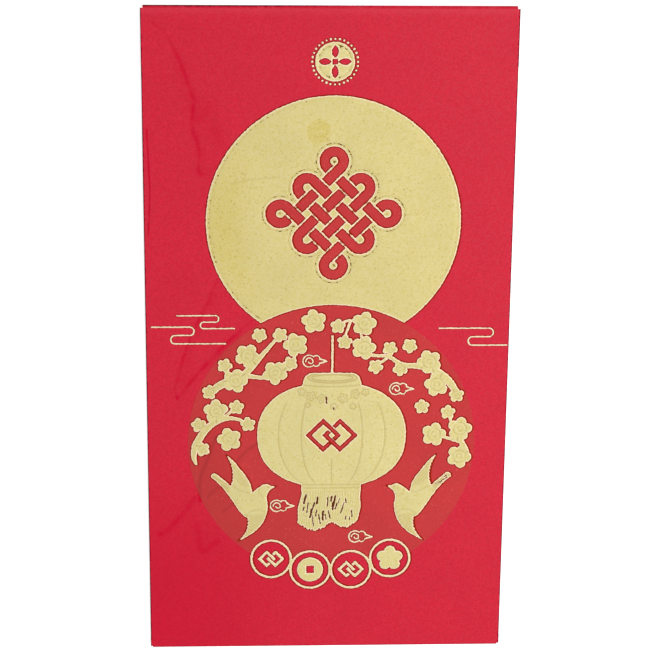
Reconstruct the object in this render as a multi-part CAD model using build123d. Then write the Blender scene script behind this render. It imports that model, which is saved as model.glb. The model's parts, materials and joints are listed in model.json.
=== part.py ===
from build123d import *
import os
from math import copysign, cos, pi, radians, sin, sqrt

# A red gift envelope for money, closed, lying with its printed front up.
# Millimetres. +Z is the front's normal, +Y points to the folded top edge, and the
# origin is under the middle of the envelope, on the surface that it lies on.

# Envelope
ENVELOPE_WIDTH = 90.0
ENVELOPE_LENGTH = 165.0
PAPER_THICKNESS = 0.25
POCKET_GAP = 0.15        # loose space between the front and the folded-in tabs
FLAP_GAP = 0.10          # loose space between the back and the closed flap

# Flap, back and glue tabs
FLAP_DEPTH = 38.0
FLAP_SIDE_INSET = 0.6    # the flap's root stops this far from each side
FLAP_TAPER = 7.0         # the flap's free edge is this much shorter at each end
FLAP_CORNER_RADIUS = 5.0
BACK_SIDE_INSET = 0.5
THROAT_DROP = 12.0       # the mouth, from the top edge down to the back's free edge
THROAT_CORNER_RADIUS = 3.0
TAB_WIDTH = 14.0
TAB_TAPER = 6.0
TAB_END_GAP = 2.5        # from each end of a tab to the bottom fold and to the throat
GLUE_WIDTH = 9.0
GLUE_INSET = 2.0         # from the tab's outlines to the glue
GLUE_THICKNESS = 0.05

# Ink and foil
INK_THICKNESS = 0.04
FOIL_THICKNESS = 0.15    # raised by the stamping
FOIL_GAP = 0.35          # least bare stretch between two separate foils
PRINT_SHIFT = 1.1        # the print sits a little right of the middle
PRINT_RISE = 4.3         # and a little above it

# Seal and moon
SEAL_RADIUS = 4.8
SEAL_PETAL_LENGTH = 2.9
SEAL_PETAL_WIDTH = 1.5
SEAL_SQUARE = 1.2
BEAD_COUNT = 32
BEAD_RADIUS = 0.3
MOON_GAP = 2.3           # from the beads down to the moon
MOON_RADIUS = 31.1
KNOT_RISE = 2.1          # the knot's centre above the moon's
KNOT_PITCH = 4.6         # between neighbouring strands
KNOT_STRAND = 2.5
KNOT_STRANDS = 4         # in each of the two directions
KNOT_BRIDGE = 0.5        # gold left beside a strand where another passes under it

# Lantern, in the middle of the tinted disc
MOON_OVERLAP = 10.15     # the disc covers this much of the moon's foot
LANTERN_WIDTH = 37.4
LANTERN_HEIGHT = 26.4    # the body, from its cap to its base
LANTERN_TRIM = 0.8       # cut off the body's oval at the cap and at the base
LANTERN_FULLNESS = 2.3   # exponent of the body's oval; 2 is an ellipse
OVAL_POINTS = 32
WREATH_WIDTH = 17.3      # from the lantern's side out to the disc's rim
CAP_TO_RIM = 17.4        # from the disc's rim down to the lantern's cap
CAP_WIDTH = 13.4
CAP_FLARE = 0.8          # the cap is wider at its foot by this on each side
CAP_HEIGHT = 3.3
CAP_CORNER_RADIUS = 2.6
BASE_WIDTH = 15.2
BASE_HEIGHT = 1.9
HANGING_CORD_WIDTH = 0.7
EMBLEM_HALF = 4.4        # half of a lozenge, corner to corner
EMBLEM_SPREAD = 2.1      # each lozenge's centre from the emblem's
EMBLEM_LINE = 1.0
EMBLEM_BRIDGE = 0.3
TASSEL_WIDTH = 15.8
TASSEL_LENGTH = 10.0
TASSEL_STRANDS = 14
STRAND_SLIT = 0.22
TUFT_SCALLOP = 2.2       # how much shorter the strands between the two tufts are
TASSEL_SWAY = 0.8        # the tips hang this far to the left of the roots

# Plum branches round the lantern. A place is an angle about the disc's centre, in
# degrees from +X, and a distance inwards from the rim.
LARGE_BLOSSOM = 3.2
SMALL_BLOSSOM = 2.0
PETALS = 5
PETAL_NOTCH = 0.72       # the notch between two petals, as a share of the radius
HANGER_MARGIN = 3.4      # rim to the blossom that the lantern hangs under
HANGER_ANGLE = 87.5

# Limbs as (angle, inset, width), blossoms as (angle, margin to the rim, radius)
LEFT_UPPER_LIMBS = [
    [(157, 3.2, 1.5), (150, 4.6, 2.2), (143, 7.2, 2.2), (134, 7.6, 1.7), (125, 6.8, 1.2), (115, 4.9, 0.9)],
    [(140, 8.2, 1.4), (133, 12.2, 1.1), (126, 13.6, 1.0), (116, 12.6, 0.9), (109, 9.2, 0.8)],
]
LEFT_UPPER_BLOSSOMS = [
    (132.5, 1.6, LARGE_BLOSSOM), (145.5, 3.6, LARGE_BLOSSOM), (156, 0.6, SMALL_BLOSSOM),
    (142.5, 0.4, SMALL_BLOSSOM), (114.5, 2.8, SMALL_BLOSSOM), (127.5, 9.4, LARGE_BLOSSOM),
    (116.5, 10.6, SMALL_BLOSSOM), (109.5, 5.4, LARGE_BLOSSOM),
]
LEFT_LOWER_LIMBS = [
    [(189.5, 1.6, 0.7), (184, 1.4, 1.7), (176.5, 3.2, 2.0), (169.5, 6.0, 1.7), (165, 10.0, 1.2),
     (166, 13.8, 0.8)],
    [(167, 7.8, 1.0), (159, 10.0, 0.8)],
]
LEFT_LOWER_BLOSSOMS = [
    (163.5, 2.6, LARGE_BLOSSOM), (158, 8.3, SMALL_BLOSSOM), (171.5, 0.4, SMALL_BLOSSOM),
    (166.3, 12.4, SMALL_BLOSSOM), (182.5, 1.6, SMALL_BLOSSOM),
]
RIGHT_UPPER_LIMBS = [
    [(21, 2.2, 1.3), (28.5, 2.6, 2.1), (36, 4.0, 2.1), (43.5, 6.6, 1.7), (51, 9.2, 1.4), (59, 9.4, 1.1),
     (66, 10.8, 1.0), (72.5, 9.8, 0.9), (77, 5.6, 0.9), (82, 3.4, 0.8)],
    [(58.5, 9.8, 0.9), (62, 13.0, 0.8)],
    [(82, 3.4, 0.8), (84, 8.6, 0.7)],
    [(82, 3.4, 0.8), (86.5, 4.6, 0.7)],
]
RIGHT_UPPER_BLOSSOMS = [
    (41.5, 0.6, LARGE_BLOSSOM), (30.5, 2.5, LARGE_BLOSSOM), (22, 0.4, SMALL_BLOSSOM),
    (49, 8.2, SMALL_BLOSSOM), (60, 5.4, SMALL_BLOSSOM), (61.8, 11.2, SMALL_BLOSSOM),
    (72.8, 6.6, LARGE_BLOSSOM), (76, 0.6, LARGE_BLOSSOM), (83.5, 7.3, SMALL_BLOSSOM),
    (HANGER_ANGLE, HANGER_MARGIN, SMALL_BLOSSOM),
]
RIGHT_LOWER_LIMBS = [
    [(-7.5, 1.6, 0.9), (-4, 2.0, 1.6), (0, 3.2, 1.5), (4.5, 4.4, 1.2), (10, 5.4, 0.9), (15, 5.7, 0.7)],
    [(0.5, 3.8, 1.0), (3, 7.6, 0.9), (5, 10.0, 0.8)],
]
RIGHT_LOWER_BLOSSOMS = [
    (15.5, 3.8, SMALL_BLOSSOM), (5, 7.0, LARGE_BLOSSOM), (6.5, 0.4, LARGE_BLOSSOM),
    (-6.5, 0.4, LARGE_BLOSSOM),
]
LOOSE_BLOSSOMS = [
    (98.3, 0.6, LARGE_BLOSSOM), (53, 2.1, SMALL_BLOSSOM), (23, 9.5, SMALL_BLOSSOM),
    (122.5, 0.4, SMALL_BLOSSOM), (177.5, 7.1, LARGE_BLOSSOM),
]

# Birds, facing the tassel from both sides; points about the left bird's body
BIRD_OFFSET = 12.4       # from the tassel's side out to the body
BIRD_DROP = 15.2         # the body below the disc's centre
BIRD_BEAK = [(5.2, 2.9), (6.4, 3.8), (5.0, 3.9)]
BIRD_BACK = [(3.7, 4.4), (2.2, 3.7), (0.4, 2.3)]
BIRD_UPPER_WING = [(-0.8, 6.0), (-2.7, 8.6), (-4.7, 11.1), (-6.2, 12.2)]
BIRD_UPPER_TRAIL = [(-5.2, 9.8), (-4.7, 7.2), (-5.1, 4.2)]
BIRD_TAIL = [(-8.6, 7.2), (-9.7, 7.2), (-10.0, 6.1)]
BIRD_BELLY = [(-6.4, 2.4), (-4.3, -0.8), (-2.4, -3.6), (-0.9, -5.0)]
BIRD_LOWER_WING = [(-1.1, -7.6), (-3.4, -11.1)]
BIRD_LOWER_LEAD = [(-0.4, -9.6), (2.7, -6.7), (4.1, -3.6), (4.3, -0.6)]
BIRD_THROAT = (4.3, 1.7)

# Cloud scrolls about their centre: round lobes and a tail as (x, y, radius), and a curl
SCROLL_LINE = 0.33
SCROLL_LENGTH = 6.3
SCROLL_LOBES = [(-1.45, 0.0, 1.7), (0.35, 0.6, 1.0), (0.3, -0.6, 0.95)]
SCROLL_HEART = (0.05, 0.0, 0.5)   # joins the hollows of the lobes
SCROLL_TAIL = [(0.9, 0.0, 0.85), (2.95, -0.1, 0.2)]
SCROLL_TAIL_CORE = [(0.9, 0.0, 0.42), (2.0, -0.05, 0.1)]
SCROLL_CURL = [[(-2.3, -0.1), (-1.4, 0.8), (-0.5, -0.1)], [(-0.5, -0.1), (-1.05, -0.65), (-1.6, -0.1)]]
CAP_SCROLL_SIDE = 4.3    # from the hanging cord
CAP_SCROLL_RISE = 3.0    # above the cap
WREATH_SCROLL_PLACE = (39.5, 13.5)
TASSEL_SCROLL_GAP = 1.3
TASSEL_SCROLL_DROP = 3.5
TIP_SCROLL_SIDE = 7.6
TIP_SCROLL_DROP = 2.0

# Cloud lines beside the waist between moon and disc. Each starts or ends at an edge,
# and stays clear of the print; its rise is above the waist.
CLOUD_LINE_WIDTH = 0.34
CLOUD_TURN_SHARE = 0.48  # a turn's radius, as a share of the step between two runs
LEFT_UPPER_LINE = {"start": 7.7, "loop": 4.5, "last_run": 8.3, "rise": 2.0, "step": 1.65, "clear": 4.5}
LEFT_LOWER_LINE = {"start": 1.5, "first_run": 10.4, "loop": 5.7, "rise": -0.9, "step": 2.15, "clear": 1.7}
RIGHT_LINE = {"clear": 6.5, "turn": 4.0, "back": 10.2, "rise": -1.4, "step": 2.2}

# Chain of four rings under the tassel
RING_GAP = 5.6
RING_RADIUS = 5.4
RING_LINE = 0.75
RING_OVERLAP = 0.4
RING_DIP = 3.0           # the inner rings below the outer ones
COIN_RADIUS = 3.3
COIN_SQUARE = 2.0
RING_LOZENGE_HALF = 2.3
RING_LOZENGE_SPREAD = 1.1
RING_LOZENGE_LINE = 0.65
RING_BLOSSOM = 3.4

# Heights of the stacked sheets, from the surface up
back_bottom = PAPER_THICKNESS + FLAP_GAP
glue_bottom = back_bottom + PAPER_THICKNESS
tab_bottom = glue_bottom + GLUE_THICKNESS
front_bottom = tab_bottom + PAPER_THICKNESS + POCKET_GAP
front_top = front_bottom + PAPER_THICKNESS
ink_top = front_top + INK_THICKNESS

# Outer radius of each fold, from the two sheets that it joins
top_fold = front_top / 2
bottom_fold = (front_top - back_bottom) / 2
side_fold = (front_top - tab_bottom) / 2

# Edges of the flat sheets
half_width = ENVELOPE_WIDTH / 2
half_length = ENVELOPE_LENGTH / 2
side_edge = half_width - side_fold
top_edge = half_length - top_fold
bottom_edge = -(half_length - bottom_fold)
throat_edge = half_length - THROAT_DROP
back_half = half_width - BACK_SIDE_INSET
flap_half = half_width - FLAP_SIDE_INSET
tab_low = bottom_edge + TAB_END_GAP
tab_high = throat_edge - TAB_END_GAP

# Layout of the print, from its top down
bead_ring = SEAL_RADIUS + FOIL_GAP + BEAD_RADIUS
seal_drop = bead_ring + BEAD_RADIUS
moon_drop = 2 * seal_drop + MOON_GAP + MOON_RADIUS
disc_radius = LANTERN_WIDTH / 2 + WREATH_WIDTH
disc_drop = moon_drop + MOON_RADIUS - MOON_OVERLAP + disc_radius
cap_drop = disc_drop - disc_radius + CAP_TO_RIM
base_drop = cap_drop + CAP_HEIGHT + LANTERN_HEIGHT
tassel_drop = base_drop + BASE_HEIGHT + STRAND_SLIT
print_height = tassel_drop + TASSEL_LENGTH + RING_GAP + 2 * RING_RADIUS

# Places of the print on the front
print_top = PRINT_RISE + print_height / 2
seal_y = print_top - seal_drop
moon_y = print_top - moon_drop
knot_y = moon_y + KNOT_RISE
disc_y = print_top - disc_drop
cap_top = print_top - cap_drop
cap_foot = cap_top - CAP_HEIGHT
lantern_y = cap_foot - LANTERN_HEIGHT / 2
base_top = print_top - base_drop
base_bottom = base_top - BASE_HEIGHT
tassel_top = print_top - tassel_drop
tassel_tip = tassel_top - TASSEL_LENGTH
cord_top = disc_y + disc_radius - HANGER_MARGIN - 2 * SMALL_BLOSSOM - FOIL_GAP
inner_ring_y = tassel_tip - RING_GAP - RING_RADIUS
inner_ring_x = RING_RADIUS - RING_OVERLAP / 2
ring_step = 2 * RING_RADIUS - RING_OVERLAP
outer_ring_x = inner_ring_x + sqrt(ring_step**2 - RING_DIP**2)
outer_ring_y = inner_ring_y + RING_DIP
ring_centers = [
    (PRINT_SHIFT - outer_ring_x, outer_ring_y), (PRINT_SHIFT - inner_ring_x, inner_ring_y),
    (PRINT_SHIFT + inner_ring_x, inner_ring_y), (PRINT_SHIFT + outer_ring_x, outer_ring_y),
]
rise = moon_y - disc_y
waist_y = disc_y + (disc_radius**2 - MOON_RADIUS**2 + rise**2) / (2 * rise)


def plate(outline, bottom, thickness):
    """A flat piece of the given outline."""
    return Pos(0, 0, bottom) * extrude(outline, amount=thickness)


def foil(outline, bottom):
    return plate(outline, bottom, FOIL_THICKNESS)


# Paper
def front_panel():
    """The printed face; above and below the side folds its cut edges are flush with them."""
    height = top_edge - bottom_edge
    outline = Pos(0, bottom_edge + height / 2) * Rectangle(2 * side_edge, height)
    for low, high in ((bottom_edge, tab_low), (tab_high, top_edge)):
        outline += Pos(0, (low + high) / 2) * Rectangle(ENVELOPE_WIDTH, high - low)
    return plate(outline, front_bottom, PAPER_THICKNESS)


def back_panel():
    """The back, with rounded corners at its free edge, which is the pocket's throat."""
    height = throat_edge - bottom_edge
    outline = Pos(0, bottom_edge + height / 2) * Rectangle(2 * back_half, height)
    corners = outline.vertices().sort_by(Axis.Y)[-2:]
    return plate(fillet(corners, THROAT_CORNER_RADIUS), back_bottom, PAPER_THICKNESS)


def top_flap():
    """The flap, tapered to its free edge, which has rounded corners."""
    free_edge = top_edge - FLAP_DEPTH
    free_half = flap_half - FLAP_TAPER
    root_corners = (-flap_half, top_edge), (flap_half, top_edge)
    free_corners = (free_half, free_edge), (-free_half, free_edge)
    outline = make_face(Polyline(*root_corners, *free_corners, close=True))
    corners = outline.vertices().sort_by(Axis.Y)[:2]
    return plate(fillet(corners, FLAP_CORNER_RADIUS), 0, PAPER_THICKNESS)


def glue_tab(side):
    """A tab folded in from one side, -1 left or 1 right, with slanted ends."""
    root = side * side_edge
    free = side * (side_edge - TAB_WIDTH)
    root_corners = (root, tab_low), (root, tab_high)
    free_corners = (free, tab_high - TAB_TAPER), (free, tab_low + TAB_TAPER)
    outline = make_face(Polyline(*root_corners, *free_corners, close=True))
    return plate(outline, tab_bottom, PAPER_THICKNESS)


def glue_strip(side):
    """The glue between a tab and the back panel, clear of the back's edge."""
    outer = min(side_edge, back_half) - GLUE_INSET
    length = tab_high - tab_low - 2 * (TAB_TAPER + GLUE_INSET)
    middle = (tab_high + tab_low) / 2
    outline = Pos(side * (outer - GLUE_WIDTH / 2), middle) * Rectangle(GLUE_WIDTH, length)
    return plate(outline, glue_bottom, GLUE_THICKNESS)


def crease(radius, length, origin, outwards, along):
    """A sheet bent back on itself: half a tube that bulges outwards from its axis."""
    ring = Circle(radius) - Circle(radius - PAPER_THICKNESS)
    half_ring = ring & (Pos(radius / 2, 0) * Rectangle(radius, 2 * radius))
    tube = extrude(half_ring, amount=length / 2, both=True)
    return Plane(origin=origin, x_dir=outwards, z_dir=along) * tube


def side_crease(side):
    origin = (side * side_edge, (tab_low + tab_high) / 2, front_top - side_fold)
    return crease(side_fold, tab_high - tab_low, origin, (side, 0, 0), (0, 1, 0))


def top_crease():
    return crease(top_fold, 2 * flap_half, (0, top_edge, top_fold), (0, 1, 0), (1, 0, 0))


def bottom_crease():
    origin = (0, bottom_edge, front_top - bottom_fold)
    return crease(bottom_fold, 2 * back_half, origin, (0, -1, 0), (1, 0, 0))


# Shapes that the print repeats
def on_disc(angle, inset):
    """A point inside the tinted disc, by its angle and its distance from the rim."""
    reach = disc_radius - inset
    return PRINT_SHIFT + reach * cos(radians(angle)), disc_y + reach * sin(radians(angle))


def blossom(center, radius, turn):
    """Round petals about a centre, as one outline of arcs."""
    x, y = center
    step = 360 / PETALS

    def ray(angle, reach):
        return x + reach * cos(radians(angle)), y + reach * sin(radians(angle))

    arcs = []
    for petal in range(PETALS):
        middle = turn + petal * step
        notches = [ray(middle + half, PETAL_NOTCH * radius) for half in (-step / 2, step / 2)]
        arcs.append(ThreePointArc(notches[0], ray(middle, radius), notches[1]))
    return make_face(arcs)


def wreath_blossom(angle, margin, radius):
    return blossom(on_disc(angle, margin + radius), radius, angle)


def limb(stations):
    """A tapering, curved twig through (angle, inset, width) stations."""
    spots = [Vector(*on_disc(angle, inset)) for angle, inset, width in stations]
    sides = ([], [])
    for k, (angle, inset, width) in enumerate(stations):
        course = spots[min(k + 1, len(spots) - 1)] - spots[max(k - 1, 0)]
        across = course.normalized().rotate(Axis.Z, 90) * (width / 2)
        sides[0].append(spots[k] + across)
        sides[1].insert(0, spots[k] - across)
    ends = [Line(sides[0][-1], sides[1][0]), Line(sides[1][-1], sides[0][0])]
    return make_face([Spline(*sides[0]), Spline(*sides[1]), *ends])


def branch(limbs, blossoms):
    """Twigs with their blossoms, as one outline."""
    shapes = [wreath_blossom(*place) for place in blossoms]
    shapes += [limb(stations) for stations in limbs]
    return Sketch() + shapes


def stroke(edges, width):
    """A line of even width with round ends along joined edges."""
    return SlotArc(Wire(edges), width)


def square_ring(half, line):
    """A lozenge drawn with a line, by half its outer width from corner to corner."""
    side = half * sqrt(2)
    return Rot(0, 0, 45) * (Rectangle(side, side) - Rectangle(side - 2 * line, side - 2 * line))


def linked_lozenges(half, spread, line, bridge):
    """Two interlaced lozenges: at each crossing one passes under, with a small break."""
    left = Pos(-spread, 0) * square_ring(half, line)
    right = Pos(spread, 0) * square_ring(half, line)
    crossing = half - line / sqrt(2) - spread
    breaks = []
    for turn in (0, 180):
        spot = Rot(0, 0, turn) * Pos(0, crossing) * Rot(0, 0, -45)
        breaks += [spot * Pos(0, away) * Rectangle(line, bridge)
                   for away in (-(line + bridge) / 2, (line + bridge) / 2)]
    return (left + right) - breaks


# Seal and moon
def seal():
    """A round seal in an old coin's pattern: four cut-out petals about a square hole."""
    reach = SEAL_SQUARE / 2 + FOIL_GAP
    petal_radius = (SEAL_PETAL_LENGTH**2 + SEAL_PETAL_WIDTH**2) / (4 * SEAL_PETAL_WIDTH)
    away = petal_radius - SEAL_PETAL_WIDTH / 2
    lens = (Pos(0, away) * Circle(petal_radius)) & (Pos(0, -away) * Circle(petal_radius))
    cuts = [Rectangle(SEAL_SQUARE, SEAL_SQUARE)]
    cuts += [Rot(0, 0, 90 * side) * Pos(reach + SEAL_PETAL_LENGTH / 2, 0) * lens for side in range(4)]
    return Pos(PRINT_SHIFT, seal_y) * (Circle(SEAL_RADIUS) - cuts)


def seal_beads():
    beads = PolarLocations(bead_ring, BEAD_COUNT)
    return Sketch() + [Pos(PRINT_SHIFT, seal_y) * spot * Circle(BEAD_RADIUS) for spot in beads]


def knot():
    """An interlaced knot of strands in two directions, standing on its corner."""
    reach = KNOT_PITCH * KNOT_STRANDS / 2
    ear = KNOT_PITCH / 2
    lines = [(k - (KNOT_STRANDS - 1) / 2) * KNOT_PITCH for k in range(KNOT_STRANDS)]

    oval = (SlotCenterToCenter(2 * reach, KNOT_PITCH + KNOT_STRAND)
            - SlotCenterToCenter(2 * reach, KNOT_PITCH - KNOT_STRAND))
    bar = Rectangle(2 * reach, KNOT_STRAND)
    outer_bars = [Pos(0, lines[0]) * bar, Pos(0, lines[-1]) * bar]
    loop = Circle(ear + KNOT_STRAND / 2) - Circle(ear - KNOT_STRAND / 2)
    quarter = ear + KNOT_STRAND
    open_loop = loop - Pos(-quarter / 2, -quarter / 2) * Rectangle(quarter, quarter)
    strands = [oval, *outer_bars]
    strands += [Rot(0, 0, 90) * strand for strand in strands]
    strands += [Rot(0, 0, 90 * corner) * Pos(reach, reach) * open_loop for corner in range(4)]

    bridges = []
    beside = (KNOT_STRAND + KNOT_BRIDGE) / 2
    bridge = Rectangle(KNOT_STRAND, KNOT_BRIDGE)
    for i, across in enumerate(lines):
        for j, along in enumerate(lines):
            turn = 90 if (i + j) % 2 else 0
            spot = Pos(along, across) * Rot(0, 0, turn)
            bridges += [spot * Pos(0, away) * bridge for away in (-beside, beside)]
    woven = (Sketch() + strands) - bridges
    return Pos(PRINT_SHIFT, knot_y) * Rot(0, 0, 45) * woven


def moon_disc():
    """The moon, with the tinted disc's circle cut out of its foot."""
    lower_disc = Pos(PRINT_SHIFT, disc_y) * Circle(disc_radius)
    return Pos(PRINT_SHIFT, moon_y) * Circle(MOON_RADIUS) - lower_disc


# Tinted disc, lantern and tassel
def scene_tint():
    """The tinted disc, left bare inside the rings and in the slivers between them."""
    disc = Pos(PRINT_SHIFT, disc_y) * Circle(disc_radius)
    printed = disc - [Pos(*center) * Circle(RING_RADIUS) for center in ring_centers]
    return printed.faces().sort_by(SortBy.AREA)[-1]


def full_oval(half_width, half_height):
    """An oval fuller than an ellipse."""
    points = []
    for k in range(OVAL_POINTS):
        reach = [cos(2 * pi * k / OVAL_POINTS), sin(2 * pi * k / OVAL_POINTS)]
        fuller = [copysign(abs(share) ** (2 / LANTERN_FULLNESS), share) for share in reach]
        points.append((half_width * fuller[0], half_height * fuller[1]))
    return make_face(Spline(*points, periodic=True))


def lantern():
    """A round lantern with its cap, base and hanging cord, and an emblem cut out of it."""
    oval = full_oval(LANTERN_WIDTH / 2, LANTERN_HEIGHT / 2 + LANTERN_TRIM)
    body = Pos(0, lantern_y) * (oval & Rectangle(2 * LANTERN_WIDTH, LANTERN_HEIGHT))
    cap_half = CAP_WIDTH / 2
    foot_half = cap_half + CAP_FLARE
    foot_corners = (foot_half, cap_foot), (-foot_half, cap_foot)
    cap = make_face(Polyline((-cap_half, cap_top), (cap_half, cap_top), *foot_corners, close=True))
    cap = fillet(cap.vertices().sort_by(Axis.Y)[-2:], CAP_CORNER_RADIUS)
    base = Pos(0, base_bottom + BASE_HEIGHT / 2) * Rectangle(BASE_WIDTH, BASE_HEIGHT)
    cord_height = cord_top - cap_foot
    cord = Pos(0, cap_foot + cord_height / 2) * Rectangle(HANGING_CORD_WIDTH, cord_height)
    emblem = Pos(0, lantern_y) * linked_lozenges(EMBLEM_HALF, EMBLEM_SPREAD, EMBLEM_LINE, EMBLEM_BRIDGE)
    return Pos(PRINT_SHIFT, 0) * (body + [cap, base, cord] - emblem)


def tassel():
    """Strands side by side under the lantern, longest in the middle of each of two tufts."""
    root_pitch = BASE_WIDTH / TASSEL_STRANDS
    tip_pitch = TASSEL_WIDTH / TASSEL_STRANDS
    strands = []
    for k in range(TASSEL_STRANDS):
        place = k - (TASSEL_STRANDS - 1) / 2
        across = (k + 0.5) / TASSEL_STRANDS
        tip = tassel_tip + TUFT_SCALLOP * (1 - abs(sin(2 * pi * across)))
        root_half = (root_pitch - STRAND_SLIT) / 2
        tip_half = (tip_pitch - STRAND_SLIT) / 2
        root_x = place * root_pitch
        tip_x = place * tip_pitch - TASSEL_SWAY
        outline = Polyline((root_x - root_half, tassel_top), (tip_x - tip_half, tip), (tip_x, tip - tip_half),
                           (tip_x + tip_half, tip), (root_x + root_half, tassel_top), close=True)
        strands.append(make_face(outline))
    return Pos(PRINT_SHIFT, 0) * (Sketch() + strands)


# Birds
def bird():
    """The left bird: back, raised wing, blunt tail, lowered wing and throat."""
    outline = [
        Polyline(*BIRD_BEAK),
        Spline(BIRD_BEAK[-1], *BIRD_BACK),
        Spline(BIRD_BACK[-1], *BIRD_UPPER_WING),
        Spline(BIRD_UPPER_WING[-1], *BIRD_UPPER_TRAIL),
        Line(BIRD_UPPER_TRAIL[-1], BIRD_TAIL[0]),
        ThreePointArc(*BIRD_TAIL),
        Spline(BIRD_TAIL[-1], *BIRD_BELLY),
        Spline(BIRD_BELLY[-1], *BIRD_LOWER_WING),
        Spline(BIRD_LOWER_WING[-1], *BIRD_LOWER_LEAD),
        Spline(BIRD_LOWER_LEAD[-1], BIRD_THROAT, BIRD_BEAK[0]),
    ]
    body = make_face(outline)
    return Pos(PRINT_SHIFT - TASSEL_WIDTH / 2 - BIRD_OFFSET, disc_y - BIRD_DROP) * body


def facing_bird():
    """The right bird mirrors the left one about the lantern's axis."""
    return mirror(bird(), about=Plane.YZ.offset(PRINT_SHIFT))


# Clouds
def round_taper(ends):
    """Two discs, each (x, y, radius), and what lies between them."""
    discs = [Pos(x, y) * Circle(radius) for x, y, radius in ends]
    return make_hull([*discs[0].edges(), *discs[1].edges()])


def cloud_scroll():
    """A small cloud drawn with a line: lobes and a tail in outline, and a curl inside."""
    outer = [Pos(x, y) * Circle(radius) for x, y, radius in SCROLL_LOBES]
    inner = [Pos(x, y) * Circle(radius - SCROLL_LINE) for x, y, radius in SCROLL_LOBES]
    outer.append(round_taper(SCROLL_TAIL))
    inner.append(round_taper(SCROLL_TAIL_CORE))
    heart_x, heart_y, heart_radius = SCROLL_HEART
    inner.append(Pos(heart_x, heart_y) * Circle(heart_radius))
    border = (Sketch() + outer) - inner
    curl = stroke([ThreePointArc(*points) for points in SCROLL_CURL], SCROLL_LINE)
    return border + curl


def cloud_scrolls():
    tassel_side = PRINT_SHIFT - TASSEL_WIDTH / 2
    centers = [
        (PRINT_SHIFT - CAP_SCROLL_SIDE, cap_top + CAP_SCROLL_RISE),
        on_disc(*WREATH_SCROLL_PLACE),
        (tassel_side - TASSEL_SCROLL_GAP - SCROLL_LENGTH / 2, tassel_top - TASSEL_SCROLL_DROP),
        (PRINT_SHIFT + TIP_SCROLL_SIDE, tassel_tip - TIP_SCROLL_DROP),
    ]
    scroll = cloud_scroll()
    return Sketch() + [Pos(*center) * scroll for center in centers]


def waist_half(height):
    """Half the width of the moon and the disc together at a height."""
    chords = [sqrt(max(radius**2 - (height - middle) ** 2, 0))
              for radius, middle in ((MOON_RADIUS, moon_y), (disc_radius, disc_y))]
    return max(chords)


def cloud_line(start, turn, back, end, top, step):
    """A line that runs right, doubles back left and runs right again."""
    points = [(start, top), (turn, top), (turn, top - step), (back, top - step), (back, top - 2 * step),
              (end, top - 2 * step)]
    path = FilletPolyline(*points, radius=CLOUD_TURN_SHARE * step)
    return stroke(path.edges(), CLOUD_LINE_WIDTH)


def left_line_end(line):
    """Where a left line stops, short of the moon and the disc."""
    foot = waist_y + line["rise"] - 2 * line["step"]
    return PRINT_SHIFT - waist_half(foot) - line["clear"]


def left_upper_line():
    """Its loop goes by the line's end, and its start by the envelope's edge."""
    line = LEFT_UPPER_LINE
    start = line["start"] - half_width
    end = left_line_end(line)
    back = end - line["last_run"]
    turn = back + line["loop"]
    return cloud_line(start, turn, back, end, waist_y + line["rise"], line["step"])


def left_lower_line():
    """Its loop and its start go by the envelope's edge."""
    line = LEFT_LOWER_LINE
    start = line["start"] - half_width
    turn = start + line["first_run"]
    back = turn - line["loop"]
    end = left_line_end(line)
    return cloud_line(start, turn, back, end, waist_y + line["rise"], line["step"])


def right_cloud_line():
    top = waist_y + RIGHT_LINE["rise"]
    start = PRINT_SHIFT + waist_half(top) + RIGHT_LINE["clear"]
    turn = half_width - RIGHT_LINE["turn"]
    back = half_width - RIGHT_LINE["back"]
    end = side_edge - CLOUD_LINE_WIDTH / 2
    return cloud_line(start, turn, back, end, top, RIGHT_LINE["step"])


# Rings
def ring_chain():
    ring = Circle(RING_RADIUS) - Circle(RING_RADIUS - RING_LINE)
    return Sketch() + [Pos(*center) * ring for center in ring_centers]


def ring_emblems():
    """A small ornament inside each ring: linked lozenges, a coin and a blossom."""
    lozenges = linked_lozenges(RING_LOZENGE_HALF, RING_LOZENGE_SPREAD, RING_LOZENGE_LINE, EMBLEM_BRIDGE)
    coin = Circle(COIN_RADIUS) - Rectangle(COIN_SQUARE, COIN_SQUARE)
    flower = blossom((0, 0), RING_BLOSSOM, 90)
    ornaments = [lozenges, coin, lozenges, flower]
    return Sketch() + [Pos(*center) * ornament for center, ornament in zip(ring_centers, ornaments)]


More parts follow.
